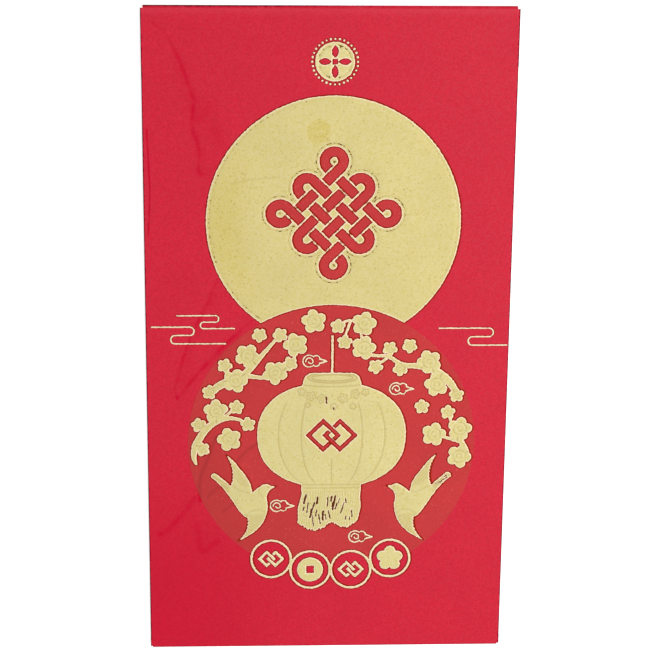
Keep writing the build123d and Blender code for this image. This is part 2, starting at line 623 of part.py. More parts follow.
pieces = {
    "front_panel": front_panel(),
    "back_panel": back_panel(),
    "top_flap": top_flap(),
    "left_glue_tab": glue_tab(-1),
    "right_glue_tab": glue_tab(1),
    "top_crease": top_crease(),
    "bottom_crease": bottom_crease(),
    "left_crease": side_crease(-1),
    "right_crease": side_crease(1),
    "left_glue_strip": glue_strip(-1),
    "right_glue_strip": glue_strip(1),
    "scene_tint": plate(scene_tint(), front_top, INK_THICKNESS),
    "moon_tint": plate(moon_disc(), front_top, INK_THICKNESS),
    "moon_foil": foil(moon_disc() - knot(), ink_top),
    "seal_foil": foil(seal(), front_top),
    "seal_bead_foils": foil(seal_beads(), front_top),
    "lantern_foil": foil(lantern(), ink_top),
    "lantern_tassel_foil": foil(tassel(), ink_top),
    "left_upper_branch_foil": foil(branch(LEFT_UPPER_LIMBS, LEFT_UPPER_BLOSSOMS), ink_top),
    "left_lower_branch_foil": foil(branch(LEFT_LOWER_LIMBS, LEFT_LOWER_BLOSSOMS), ink_top),
    "right_upper_branch_foil": foil(branch(RIGHT_UPPER_LIMBS, RIGHT_UPPER_BLOSSOMS), ink_top),
    "right_lower_branch_foil": foil(branch(RIGHT_LOWER_LIMBS, RIGHT_LOWER_BLOSSOMS), ink_top),
    "loose_blossom_foils": foil(branch([], LOOSE_BLOSSOMS), ink_top),
    "left_bird_foil": foil(bird(), ink_top),
    "right_bird_foil": foil(facing_bird(), ink_top),
    "cloud_scroll_foils": foil(cloud_scrolls(), ink_top),
    "left_cloud_line_foils": foil(Sketch() + [left_upper_line(), left_lower_line()], front_top),
    "right_cloud_line_foil": foil(right_cloud_line(), front_top),
    "ring_chain_foil": foil(ring_chain(), front_top),
    "ring_emblem_foils": foil(ring_emblems(), front_top),
}

os.makedirs("parts", exist_ok=True)
for node, solid in pieces.items():
    export_step(solid, f"parts/{node}.step")
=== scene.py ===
"""Dresses the folded red gift envelope: card, ink, stamped foil, glue, light and camera."""

import json
from functools import cached_property
from math import ceil, cos, pi, radians, sin

import bmesh
import bpy
import numpy as np
from bpy.props import FloatProperty, FloatVectorProperty, PointerProperty
from mathutils import Matrix, Vector
from mathutils.bvhtree import BVHTree


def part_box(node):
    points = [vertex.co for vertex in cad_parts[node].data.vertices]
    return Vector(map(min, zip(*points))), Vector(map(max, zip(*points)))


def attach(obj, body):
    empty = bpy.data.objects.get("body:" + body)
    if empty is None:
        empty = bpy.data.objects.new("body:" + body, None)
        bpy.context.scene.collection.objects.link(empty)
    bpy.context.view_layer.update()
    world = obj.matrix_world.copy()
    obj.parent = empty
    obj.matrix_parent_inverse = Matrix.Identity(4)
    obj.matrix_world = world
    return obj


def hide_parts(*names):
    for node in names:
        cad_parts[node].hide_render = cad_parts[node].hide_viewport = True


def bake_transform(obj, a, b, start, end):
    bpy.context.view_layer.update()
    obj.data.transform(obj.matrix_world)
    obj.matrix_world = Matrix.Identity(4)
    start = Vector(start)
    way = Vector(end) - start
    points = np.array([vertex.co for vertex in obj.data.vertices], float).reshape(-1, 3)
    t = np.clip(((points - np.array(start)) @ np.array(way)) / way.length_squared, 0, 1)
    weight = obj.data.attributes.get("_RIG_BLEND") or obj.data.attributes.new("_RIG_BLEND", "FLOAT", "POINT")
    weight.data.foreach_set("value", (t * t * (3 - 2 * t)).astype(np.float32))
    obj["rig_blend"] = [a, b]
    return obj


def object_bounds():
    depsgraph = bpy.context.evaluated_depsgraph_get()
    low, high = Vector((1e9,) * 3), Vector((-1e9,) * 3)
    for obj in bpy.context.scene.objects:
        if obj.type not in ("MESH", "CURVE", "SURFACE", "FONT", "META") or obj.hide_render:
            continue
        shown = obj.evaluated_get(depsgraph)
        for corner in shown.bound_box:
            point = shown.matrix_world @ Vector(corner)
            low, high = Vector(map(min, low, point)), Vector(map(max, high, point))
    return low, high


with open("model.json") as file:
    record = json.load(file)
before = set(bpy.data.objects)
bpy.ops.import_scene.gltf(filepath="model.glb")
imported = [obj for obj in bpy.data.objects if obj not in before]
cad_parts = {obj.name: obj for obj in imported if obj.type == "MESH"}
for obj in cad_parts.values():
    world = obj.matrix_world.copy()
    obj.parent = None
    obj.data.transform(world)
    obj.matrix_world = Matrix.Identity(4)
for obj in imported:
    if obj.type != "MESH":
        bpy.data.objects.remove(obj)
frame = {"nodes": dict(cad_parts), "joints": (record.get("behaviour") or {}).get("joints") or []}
cad_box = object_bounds()

bl_info = {
    "name": "Red gift envelope",
    "version": (1, 0, 0),
    "blender": (4, 5, 0),
    "location": "3D View > Sidebar > Envelope",
    "description": "Card, ink and stamped gold foil of a folded red gift envelope",
    "category": "Object",
}

# Places and reliefs below are in millimetres on the front; meshes are in metres.
MM = 0.001
WELD = 1e-8
FLAT_FACE = 0.9          # a face whose normal rises more than this looks up
SHARP = radians(40)      # edges that turn more than this aren't shaded smooth
PINHOLE = 0.45           # smaller holes in a foil are closed
SLIVER = 0.005           # and shorter edges are dropped
JOIN = 0.05              # outlines this close to where the lantern meets its tassel aren't free edges


def box_mm(node):
    """A node's lowest and highest corner, in millimetres."""
    return [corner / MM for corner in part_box(node)]


# Places read from the frame
front_low, front_high = box_mm("front_panel")
moon_low, moon_high = box_mm("moon_foil")
disc_low, disc_high = box_mm("scene_tint")
lantern_low, lantern_high = box_mm("lantern_foil")
tassel_low, tassel_high = box_mm("lantern_tassel_foil")
PRINT_X = (moon_low.x + moon_high.x) / 2
MOON_RADIUS = (moon_high.x - moon_low.x) / 2
MOON_Y = moon_high.y - MOON_RADIUS
DISC_RADIUS = (disc_high.x - disc_low.x) / 2
DISC_Y = disc_high.y - DISC_RADIUS
PAPER_THICKNESS = front_high.z - front_low.z

# Soft wrinkles pressed into the front: depth, half width and course
WRINKLES = [
    (0.019, 0.5, [(-42.2, 78.5), (-39.2, 76.1), (-36.2, 70.4), (-33.9, 64.2), (-32.5, 59.4), (-33.5, 52.9),
                  (-31.1, 48.7), (-31.9, 43.1), (-30.7, 41.1), (-27.1, 43.8)]),
    (0.014, 2.0, [(-36.5, 70.0), (-33.0, 60.0), (-31.5, 48.0), (-30.7, 42.0)]),
    (0.018, 2.8, [(-30.0, 59.0), (-28.5, 53.5), (-26.5, 49.0)]),
    (0.024, 0.45, [(-27.3, 15.6), (-30.3, 8.7), (-34.1, 1.0), (-36.1, -5.0), (-38.4, -12.8), (-37.5, -14.9)]),
    (0.024, 0.45, [(-18.7, 5.4), (-23.6, 1.0), (-28.6, -4.2), (-32.9, -9.4), (-37.5, -14.9)]),
    (0.014, 1.5, [(-28.0, 12.0), (-33.0, 1.0), (-37.5, -13.0), (-30.0, -6.0), (-22.0, 2.0)]),
    (0.040, 0.45, [(-17.5, -26.8), (-20.5, -28.7), (-23.8, -33.2)]),
    (0.042, 0.45, [(-28.0, -25.2), (-30.1, -31.3), (-32.4, -36.7), (-32.0, -42.1)]),
    (0.021, 0.7, [(-42.3, -51.1), (-40.2, -50.3), (-35.8, -44.8), (-33.2, -41.3)]),
    (0.013, 0.8, [(-32.8, -48.4), (-32.1, -54.9), (-31.6, -56.3), (-27.5, -53.0)]),
    (0.030, 0.45, [(-26.0, -37.7), (-28.2, -39.0), (-30.0, -41.1)]),
    (0.026, 0.45, [(-23.2, -42.3), (-26.3, -45.1)]),
]
WRINKLE_SHADE = 0.065    # a wrinkle this deep has lost all its gloss
WRINKLE_REACH = 1.5      # cells are finer this close to the wrinkles
NARROW_WRINKLE = 1.0     # that are narrower than this

# Swell, wear and edges of the card
SWELL_DEPTH = 0.03
SWELL_LENGTH = (47.0, 71.0)
EDGE_FADE = 3.0          # the front is flat this close to its folds
LEFT_GROOVE = [(-43.9, 53.0), (-43.6, 45.0), (-43.35, 38.0), (-43.6, 32.5), (-43.9, 27.0)]
GROOVE_WIDTH = 0.2
GROOVE_REACH = 2.2       # cells are finer this far in from the left edge
GROOVE_CELL = 0.16
TOP_SHADE_SPARE = 0.25         # painted shade: the top edge is painted less dark on the right, as if this much further in
TOP_SHADE_SPARE_RUN = (-20.0, 15.0)
TOP_HIGHLIGHT = (2.0, 0.3)    # painted highlight: the front is painted paler between these distances from its top edge
SHADE_LOW = (15.0, 65.0)  # painted shade: it is painted darker and duller between these distances below its middle
SHADE_LEFT = (-10.0, 38.0)   # and between these to the left of it
TAB_RIDGE = 0.06         # the tabs' inner edges show this much on the back
TAB_RIDGE_WIDTH = 0.9
FLAP_SWELL = 0.07
FLAP_GAP = 0.05          # the flap stops this far short of its fold, so that it clears the front when open
FOLD_WEAR = 0.012        # a fold is drawn in by up to twice this share
FOLD_WAVES = (2.3, 7.1)
GLUE_SQUEEZE = 0.06      # and a glue strip's width by up to twice this one
GLUE_WAVES = (3.1, 11.0)

# Foil
GRAIN = 0.3              # size of the grains in card, ink and foil
SHADOW_LEAN = 0.9         # painted shadow: the dark pressed edge is this much wider on the right
EDGE_LINE_INSET = 0.85   # from the foil's edge to the fine line pressed along it
EDGE_LINE_WIDTH = 0.32
PRESSED_LINE = 0.15      # half widths of the lines in the foil
FINE_LINE = 0.14
PETAL_LINE = 0.13
BUD_LINE = 0.11
CREASE_LINE = 0.2
SLIT_WIDTH = 0.19

# Moon, with the knot in it
KNOT_RISE = 2.1
KNOT_REACH = 17.6
KNOT_MIDDLE = (6.0, 11.0)    # the line round the knot fades in between these distances from its centre
KNOT_LINE_REACH = (2.2, 1.6)
RIM_LINE_REACH = (2.0, 1.5)
STAIN_PLACE = (-2.6, 52.5)
STAIN_RADIUS = 3.2
STAIN_FADE = 0.6
MOON_SHADE_LEFT = (12.0, 24.0)   # painted shade: the foil is painted yellower and darker between these distances to the left
MOON_SHADE_INSET = 4.0
MOON_SHADE_SPREAD = (4.5, 16.0)  # in from the rim, and up and down
MOON_WRINKLE = [(-24.0, 39.6), (-19.0, 40.8), (-12.0, 41.3)]

# Lantern, from the middle of its body
LANTERN_BODY = 26.4
LANTERN_OVAL = 14.0
CAP_HEIGHT = 3.3
BASE_HEIGHT = 1.9
BASE_LINES = (0.0, 0.9)  # below the body
RIBS = (-0.715, -0.41, 0.41, 0.715)   # at the widest place, as shares of the half width
RIB_CURVE = 0.35
RIB_TOP = 8.6
RIB_FADE = 0.6
RIB_FOOT = (-13.2, -12.4)
SEAM_TOP = (-6.0, -6.6)
CAP_OVALS = [(5.1, 0.85), (6.1, 1.35)]
CAP_OVAL_RISE = 0.25     # above the middle of the cap
COLLAR_DROP = 0.4        # below the top of the body
COLLAR_REACH = 7.2
COLLAR_CURVE = 0.05 / 6
GARLAND = [
    (-7.6, 11.4, 1.0), (-5.3, 10.3, 1.25), (-6.1, 8.0, 0.7), (-2.5, 9.6, 1.2), (0.4, 7.6, 0.9),
    (2.7, 9.7, 1.25), (5.2, 7.6, 0.8), (5.7, 10.8, 1.2), (8.3, 11.3, 0.9),
]
LANTERN_SLITS = [[(-1.4, 10.1), (-1.4, 8.5)], [(0.45, 7.3), (0.5, 6.9)]]

# Tassel, about the lantern's axis
TASSEL_ROOT = 7.5        # half its width under the lantern
TASSEL_TIP = 7.8         # and at the tips
TASSEL_SWAY = 0.8        # the tips hang this far to the left
TASSEL_STRANDS = 26
TASSEL_SCALLOP = 2.2
TUFT_SHIFT = 0.12        # the gap between the tufts, as a share of the half width
RIGHT_TUFT = 0.7         # how much shorter the right tuft is
TASSEL_SLITS = [         # from the tassel's root: how wide, then across and down at both ends
    (0.05, (-6.3, 0.9), (-6.9, 3.1)), (0.05, (-3.4, 1.6), (-3.6, 3.2)), (0.0, (-4.2, 3.0), (-5.4, 7.0)),
    (-0.06, (-5.8, 2.9), (-6.1, 5.6)), (-0.06, (-4.7, 6.4), (-4.4, 9.2)), (-0.06, (-3.1, 6.2), (-2.7, 8.6)),
    (0.05, (-2.0, 5.3), (-2.1, 7.6)), (-0.04, (-0.8, 1.5), (-0.9, 3.8)), (0.0, (0.2, 1.2), (0.0, 2.4)),
    (0.05, (1.1, 1.2), (0.4, 4.8)), (-0.03, (1.5, 3.2), (1.1, 4.6)), (-0.04, (-0.7, 5.0), (-0.2, 7.2)),
    (-0.05, (3.7, 1.9), (3.8, 3.0)), (-0.05, (3.3, 3.0), (2.5, 5.8)), (-0.06, (5.2, 5.0), (5.4, 6.8)),
    (-0.06, (3.8, 6.7), (3.7, 7.6)), (-0.06, (4.7, 6.8), (4.8, 7.5)), (-0.06, (-6.8, 4.0), (-7.1, 5.2)),
    (-0.05, (-5.0, 4.5), (-5.2, 5.9)), (-0.06, (-3.6, 4.9), (-3.9, 6.6)), (-0.06, (-1.4, 6.2), (-1.2, 7.7)),
    (-0.05, (0.6, 2.6), (0.2, 4.0)), (-0.06, (2.1, 1.8), (1.9, 3.0)),
]

# Blossoms as (angle about the disc in degrees, margin to its rim, radius), by foil
LARGE = 3.2
SMALL = 2.0
BLOSSOMS = {
    "left_upper_branch_foil": [
        (132.5, 1.6, LARGE), (145.5, 3.6, LARGE), (156, 0.6, SMALL), (142.5, 0.4, SMALL), (114.5, 2.8, SMALL),
        (127.5, 9.4, LARGE), (116.5, 10.6, SMALL), (109.5, 5.4, LARGE),
    ],
    "left_lower_branch_foil": [
        (163.5, 2.6, LARGE), (158, 8.3, SMALL), (171.5, 0.4, SMALL), (166.3, 12.4, SMALL),
        (182.5, 1.6, SMALL),
    ],
    "right_upper_branch_foil": [
        (41.5, 0.6, LARGE), (30.5, 2.5, LARGE), (22, 0.4, SMALL), (49, 8.2, SMALL), (60, 5.4, SMALL),
        (61.8, 11.2, SMALL), (72.8, 6.6, LARGE), (76, 0.6, LARGE), (83.5, 7.3, SMALL), (87.5, 3.4, SMALL),
    ],
    "right_lower_branch_foil": [
        (15.5, 3.8, SMALL), (5, 7.0, LARGE), (6.5, 0.4, LARGE), (-6.5, 0.4, LARGE),
    ],
    "loose_blossom_foils": [
        (98.3, 0.6, LARGE), (53, 2.1, SMALL), (23, 9.5, SMALL), (122.5, 0.4, SMALL), (177.5, 7.1, LARGE),
    ],
}
PETALS = 5
PETAL_RING = 0.5         # shares of a blossom's radius
BUD_RING = 0.2

# Birds: marks about the left bird's body; the right bird mirrors them
BIRD_BODY = (-20.3, -15.2)   # from the disc's centre
BIRD_CREASES = [
    [(0.4, 2.4), (-0.8, 2.0), (-2.6, 2.6), (-4.9, 4.0)],
    [(4.0, -3.6), (2.2, -2.6), (0.2, -2.8), (-1.6, -4.2)],
    [(-5.4, 3.6), (-7.4, 5.2), (-9.4, 6.6)],
    [(-6.0, 3.2), (-8.0, 4.8), (-9.7, 6.2)],
    [(2.0, 3.5), (1.9, 2.2), (3.0, 1.0)],
]
BIRD_TRAILS = [          # the wings' trailing edges
    [(-6.2, 12.2), (-5.2, 9.8), (-4.7, 7.2), (-5.1, 4.2)],
    [(-0.9, -5.0), (-1.1, -7.6), (-3.4, -11.1)],
]
TAIL_SLITS = [[(-9.0, 6.6), (-8.2, 6.0)], [(-9.0, 5.9), (-6.4, 4.1)]]
TAIL_SLIT_SPARE = 0.08   # these are narrower than the other slits
NOTCH_PITCH = 0.9
NOTCH_DEPTH = 0.28
NOTCH_REACH = (0.9, 0.6)
BIRD_EYE = (4.4, 3.6)
BACK_SLOPE = 0.9         # the raised wing lies above the back's line, the tail below it
FEATHER_PITCH = 0.62
QUILL_PITCH = 1.2 * FEATHER_PITCH
RAISED_FEATHERS = (0.80, 0.60)   # directions across the feathers
LOWERED_FEATHERS = (0.65, 0.76)
QUILLS = (0.5, 0.86)

# Stage
FLOOR_GAP = 0.01         # the floor lies this far below the envelope
FLOOR_LIFT = 0.6         # how much whiter the camera sees the floor
FLOOR_REACH = 3.0        # in metres, as are the lamp's size and place and the camera's clip
LAMP_SIZE = 0.6
LAMP_PLACE = (0.42, -0.02, 0.66)
SENSOR_WIDTH = 36.0
CLIP_START = 0.01


# Settings
def a_colour(name, description, default):
    """A colour that a user can change."""
    return FloatVectorProperty(name=name, description=description, default=default, subtype="COLOR",
                               min=0.0, max=1.0)


def a_length(name, description, default, low, high):
    """A length that a user can change, here in millimetres."""
    return FloatProperty(name=name, description=description, default=default * MM, unit="LENGTH",
                         min=low * MM, max=high * MM)


def an_angle(name, description, default, limit=90.0):
    """An angle that a user can change, here in degrees."""
    return FloatProperty(name=name, description=description, default=radians(default), unit="ROTATION",
                         min=radians(-limit), max=radians(limit))


class EnvelopeCard(bpy.types.PropertyGroup):
    """Dyed card and the ink printed on it."""
    red: a_colour("Card", "Colour of the dyed card", (0.63, 0.007, 0.033))
    # painted highlight: this colour is painted along the front's top edge, where the fold catches the light
    pale: a_colour("Pale card", "Colour of the card where the dye is rubbed", (0.70, 0.06, 0.095))
    cracked: a_colour("Cracked card", "Colour of the card where the dye has cracked", (0.8, 0.12, 0.16))
    # painted shade: the dark colour where the card turns under at its edges
    edge: a_colour("Edge", "Colour of the card where it turns under at its edges", (0.16, 0.001, 0.008))
    ink: a_colour("Ink", "Colour of the dull disc printed on the card", (0.545, 0.036, 0.038))
    speck: a_colour("Ink specks", "Colour of the specks that the ink leaves bare", (0.7, 0.12, 0.12))
    glue: a_colour("Glue", "Colour of the dried glue", (0.72, 0.68, 0.56))
    cell: a_length("Card cell", "Size of the card's mesh cells", 0.75, 0.3, 5.0)


class EnvelopeFoil(bpy.types.PropertyGroup):
    """Stamped gold foil."""
    gold: a_colour("Gold", "Colour of the foil", (0.643, 0.564, 0.282))
    # painted highlight: the cream glint along the foil's edges
    rim: a_colour("Rim", "Colour of the burnished rim of the foil", (0.86, 0.69, 0.49))
    # partly painted shadow: the dark line round the foil is a pressed edge and its shadow
    pressed: a_colour("Pressed card", "Colour of the card pressed in round the foil", (0.29, 0.018, 0.004))
    # mostly painted shade: the dark of the grooves and pressed lines, also the colour of the specks
    line: a_colour("Line", "Colour of the lines pressed into the foil", (0.36, 0.24, 0.06))
    # partly painted shade: the yellow of a stain, and of the painted shade on the moon's left
    tarnish: a_colour("Tarnish", "Colour of the yellowed foil", (0.58, 0.46, 0.11))
    # partly painted shadow: flaked foil, and the shadow in the slits
    flaked: a_colour("Flaked", "Colour of the card where the foil has flaked off", (0.115, 0.028, 0.005))
    rim_width: a_length("Rim width", "Width of the burnished rim", 0.40, 0.0, 2.0)
    skirt: a_length("Skirt", "Width of the pressed edge outside the foil", 0.18, 0.0, 0.5)
    fine_skirt: a_length("Fine skirt", "Width of that edge at beads and thin lines", 0.12, 0.0, 0.17)
    plate_cell: a_length("Plate cell", "Mesh cells of the large plates", 0.30, 0.1, 2.0)
    motif_cell: a_length("Motif cell", "Mesh cells of the small motifs", 0.18, 0.1, 2.0)
    line_cell: a_length("Line cell", "Mesh cells of the thin lines", 0.13, 0.05, 2.0)


class EnvelopeStage(bpy.types.PropertyGroup):
    """Floor, light and camera."""
    floor: a_colour("Floor", "Colour of the floor", (0.86, 0.86, 0.86))
    sky: FloatProperty(name="Sky", description="Strength of the even light from all round", default=0.58,
                       min=0.0, max=2.0)
    lamp_power: FloatProperty(name="Lamp", description="Power of the soft lamp", subtype="POWER", default=4.3,
                              min=0.0, max=100.0)
    lens: FloatProperty(name="Lens", description="Focal length", unit="CAMERA", default=110.8,
                        min=10.0, max=400.0)
    distance: a_length("Distance", "Camera to the front's centre", 495.0, 50.0, 5000.0)
    tilt: an_angle("Tilt", "Lean of the view towards the top edge", 16.2)
    yaw: an_angle("Yaw", "Turn of the view to one side", 2.4)
    roll: an_angle("Roll", "Turn of the picture", -0.49, limit=180.0)
    aside: a_length("Aside", "Picture centre to the front's centre, across", 0.75, -100.0, 100.0)
    below: a_length("Below", "Picture centre to the front's centre, along", -3.9, -100.0, 100.0)


# Numbers on the front
def smooth(value, low, high):
    """Rises from 0 at low to 1 at high."""
    share = np.clip((value - low) / (high - low), 0.0, 1.0)
    return share * share * (3 - 2 * share)


def bell(value, width):
    return np.exp(-(value / width) ** 2)


def path_distance(x, y, *paths):
    """Distance from each point to the nearest of some paths of straight runs."""
    nearest = np.full(len(x), np.inf)
    for path in paths:
        for (ax, ay), (bx, by) in zip(path, path[1:]):
            run_x, run_y = bx - ax, by - ay
            share = ((x - ax) * run_x + (y - ay) * run_y) / (run_x**2 + run_y**2)
            share = np.clip(share, 0.0, 1.0)
            nearest = np.minimum(nearest, np.hypot(x - ax - share * run_x, y - ay - share * run_y))
    return nearest


def oval_distance(x, y, half_width, half_height):
    """Distance from each point to an oval about the origin, good close to the line."""
    reach = np.hypot(x / half_width, y / half_height) + 1e-9
    slope = np.hypot(x / half_width**2, y / half_height**2) / reach + 1e-9
    return np.abs(reach - 1) / slope


def curved(path):
    """The path with its corners cut off twice."""
    for step in range(2):
        cut = [path[0]]
        for (ax, ay), (bx, by) in zip(path, path[1:]):
            cut += [(near * ax + (1 - near) * bx, near * ay + (1 - near) * by) for near in (0.75, 0.25)]
        path = cut + [path[-1]]
    return path


def inset(x, y, low, high, spare=0.0):
    """Distance in from the sides of a box, whose top side counts as further off by the spare."""
    return np.min((x - low.x, high.x - x, y - low.y, high.y - y + spare), axis=0)


def wrinkle_depth(x, y):
    """How deep the wrinkles are pressed in at each point."""
    return sum(depth * bell(path_distance(x, y, curved(path)), width) for depth, width, path in WRINKLES)


def wrinkle_shade(x, y):
    """How much of its gloss the card has lost in the wrinkles."""
    return np.clip(wrinkle_depth(x, y) / WRINKLE_SHADE, 0, 1)


def paper_lift(x, y):
    """How far the front lies below a flat sheet, which is never above zero."""
    swell = 0.5 - 0.5 * np.sin(2 * pi * x / SWELL_LENGTH[0]) * np.cos(2 * pi * y / SWELL_LENGTH[1])
    depth = SWELL_DEPTH * swell + wrinkle_depth(x, y)
    return -depth * smooth(inset(x, y, front_low, front_high), 0.0, EDGE_FADE)


def edge_distance(x, y):
    """Distance in from the envelope's outer edge."""
    low, high = (corner / MM for corner in cad_box)
    return inset(x, y, low, high, TOP_SHADE_SPARE * smooth(x, *TOP_SHADE_SPARE_RUN))


# Meshes
def places(verts):
    """The x and the y of vertices, in millimetres."""
    return [np.array([vert.co[axis] for vert in verts]) / MM for axis in (0, 1)]


class Sheet:
    """A flat sheet cut into cells, with values painted on it, which is made into a solid piece."""

    def __init__(self, shape, is_edge=None):
        self.shape = shape
        self.is_edge = is_edge
        self.verts = shape.verts[:]
        self.outline = [edge for edge in shape.edges if edge.is_boundary]
        self.x, self.y = places(self.verts)
        self.paint = {}

    @cached_property
    def depth_in(self):
        """Each vertex's distance in from the sheet's free edge."""
        return self.depth(self.is_edge)

    def depth(self, belongs=None):
        """Each vertex's distance in from the outline, or from the part of it that belongs."""
        corners = []
        walls = []
        for edge in self.outline:
            ends = [vert.co for vert in edge.verts]
            if belongs and not belongs((ends[0] + ends[1]) / 2 / MM):
                continue
            first = len(corners)
            for rise in (-MM, MM):
                corners += [end + Vector((0, 0, rise)) for end in ends]
            walls.append((first, first + 1, first + 3, first + 2))
        tree = BVHTree.FromPolygons(corners, walls)
        return np.array([tree.find_nearest(vert.co)[3] for vert in self.verts]) / MM

    def write_paint(self):
        """Puts the painted values on the vertices, where the finishes read them."""
        for key, values in self.paint.items():
            layer = self.shape.verts.layers.float[key]
            for vert, value in zip(self.verts, values):
                vert[layer] = value


def layered_shape():
    """A mesh with the values that the finishes read."""
    shape = bmesh.new()
    for name in ("rim", "halo", "shade", "tarnish", "edge_line"):
        shape.verts.layers.float.new(name)
    return shape


def solid_shape(node):
    """A copy of a CAD solid, with its corners joined."""
    shape = layered_shape()
    shape.from_mesh(frame["nodes"][node].data)
    bmesh.ops.remove_doubles(shape, verts=shape.verts, dist=WELD)
    return shape


def cut_cells(shape, low, high, cell, axes=(0, 1)):
    """Cuts a mesh along evenly spaced planes across the given axes."""
    for axis in axes:
        normal = [0, 0, 0]
        normal[axis] = 1
        count = ceil((high[axis] - low[axis]) / cell)
        for k in range(1, count):
            place = low.lerp(high, k / count)
            geometry = shape.verts[:] + shape.edges[:] + shape.faces[:]
            bmesh.ops.bisect_plane(shape, geom=geometry, dist=WELD, plane_co=place, plane_no=normal)


def fill_pinholes(shape):
    """Closes the tiny holes left where outlines nearly meet."""
    rest = {edge for edge in shape.edges if edge.is_boundary}
    while rest:
        ring = [rest.pop()]
        for edge in ring:
            near = {other for vert in edge.verts for other in vert.link_edges} & rest
            rest -= near
            ring += near
        corners = np.array([vert.co for edge in ring for vert in edge.verts])
        if np.ptp(corners, axis=0).max() < PINHOLE * MM:
            bmesh.ops.edgeloop_fill(shape, edges=ring)


def flat_top(node, cell):
    """The upper face of a CAD solid, cut into cells."""
    shape = solid_shape(node)
    bmesh.ops.dissolve_degenerate(shape, dist=SLIVER * MM, edges=shape.edges)
    shape.normal_update()
    other = [face for face in shape.faces if face.normal.z < FLAT_FACE]
    bmesh.ops.delete(shape, geom=other, context="FACES")
    fill_pinholes(shape)
    inner = [edge for edge in shape.edges if not edge.is_boundary]
    bmesh.ops.dissolve_edges(shape, edges=inner, use_verts=False)
    loose = [vert for vert in shape.verts if not vert.link_faces]
    bmesh.ops.delete(shape, geom=loose, context="VERTS")
    cut_cells(shape, *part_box(node), cell)
    return shape


def refine_wrinkles(shape):
    """Splits the cells close to the narrow wrinkles, so that these stay smooth lines."""
    narrow = [path for depth, width, path in WRINKLES if width < NARROW_WRINKLE]
    from_wrinkle = path_distance(*places(shape.verts), *narrow)
    near = {vert for vert, away in zip(shape.verts, from_wrinkle) if away < WRINKLE_REACH}
    split = [edge for edge in shape.edges if near.issuperset(edge.verts)]
    bmesh.ops.subdivide_edges(shape, edges=split, cuts=2, use_grid_fill=True)


def thicken(shape, thickness):
    """Gives a sheet its thickness, with its faces turned out."""
    bmesh.ops.solidify(shape, geom=shape.faces, thickness=thickness)
    bmesh.ops.recalc_face_normals(shape, faces=shape.faces)


def shade_smooth(shape):
    """Shades a mesh smooth, apart from its sharp edges."""
    for face in shape.faces:
        face.smooth = True
    for edge in shape.edges:
        edge.smooth = edge.calc_face_angle(0) < SHARP


def add_object(name, shape, material):
    mesh = bpy.data.meshes.new(name)
    shape.to_mesh(mesh)
    shape.free()
    mesh.materials.append(material)
    piece = bpy.data.objects.new(name, mesh)
    bpy.context.scene.collection.objects.link(piece)
    return piece


def seat(piece, node, body="envelope"):
    """Puts a piece in its node's place."""
    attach(piece, body)
    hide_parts(node)


def outward(outline):
    """Unit vectors that point off the sheet, by outline vertex."""
    away = {}
    for edge in outline:
        loop = edge.link_loops[0]
        run = loop.link_loop_next.vert.co - loop.vert.co
        for vert in edge.verts:
            away[vert] = away.get(vert, Vector()) + Vector((run.y, -run.x, 0)).normalized()
    return {vert: way.normalized() for vert, way in away.items()}


def lay(verts, levels):
    """Lays vertices at their levels above the wrinkled front."""
    for vert, level, lift in zip(verts, levels, paper_lift(*places(verts))):
        vert.co.z = level + lift * MM


def raise_sheet(sheet, name, node, height, skirt, material):
    """Gives a flat sheet its relief, its slanted edge and its underside, in the node's place."""
    shape = sheet.shape
    bottom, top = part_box(node)
    sheet.paint.setdefault("rim", sheet.depth_in)
    away = outward(sheet.outline)
    for edge in sheet.outline:
        edge.smooth = False
    bmesh.ops.extrude_edge_only(shape, edges=sheet.outline)
    foot = [edge for edge in shape.edges if edge.is_boundary]
    foot_verts = list({vert for edge in foot for vert in edge.verts})
    bmesh.ops.triangle_fill(shape, use_beauty=False, use_dissolve=False, edges=foot, normal=(0, 0, -1))
    rim = shape.verts.layers.float["rim"]
    for vert in foot_verts:
        above = next(edge.other_vert(vert) for edge in vert.link_edges if edge.other_vert(vert) in away)
        # the pressed edge, dark with painted shadow, is wider on the right
        vert.co += away[above] * skirt * (1 + SHADOW_LEAN * max(away[above].x, 0))
        vert[rim] = -skirt / MM
    sheet.write_paint()
    lay(foot_verts, np.full(len(foot_verts), bottom.z))
    lay(sheet.verts, bottom.z + (top.z - bottom.z) * height)
    bmesh.ops.recalc_face_normals(shape, faces=shape.faces)
    for edge in foot:
        edge.smooth = False
    for face in shape.faces:
        face.smooth = True
    seat(add_object(name, shape, material), node)


def stamp(name, node, relief, cell="motif_cell", skirt="skirt"):
    """A foil in its node's place: relief gives its height at each point, cell and skirt name its settings."""
    foil = bpy.context.scene.envelope_foil
    sheet = Sheet(flat_top(node, getattr(foil, cell)))
    raise_sheet(sheet, name, node, relief(sheet), getattr(foil, skirt), finish(stamped_foil))


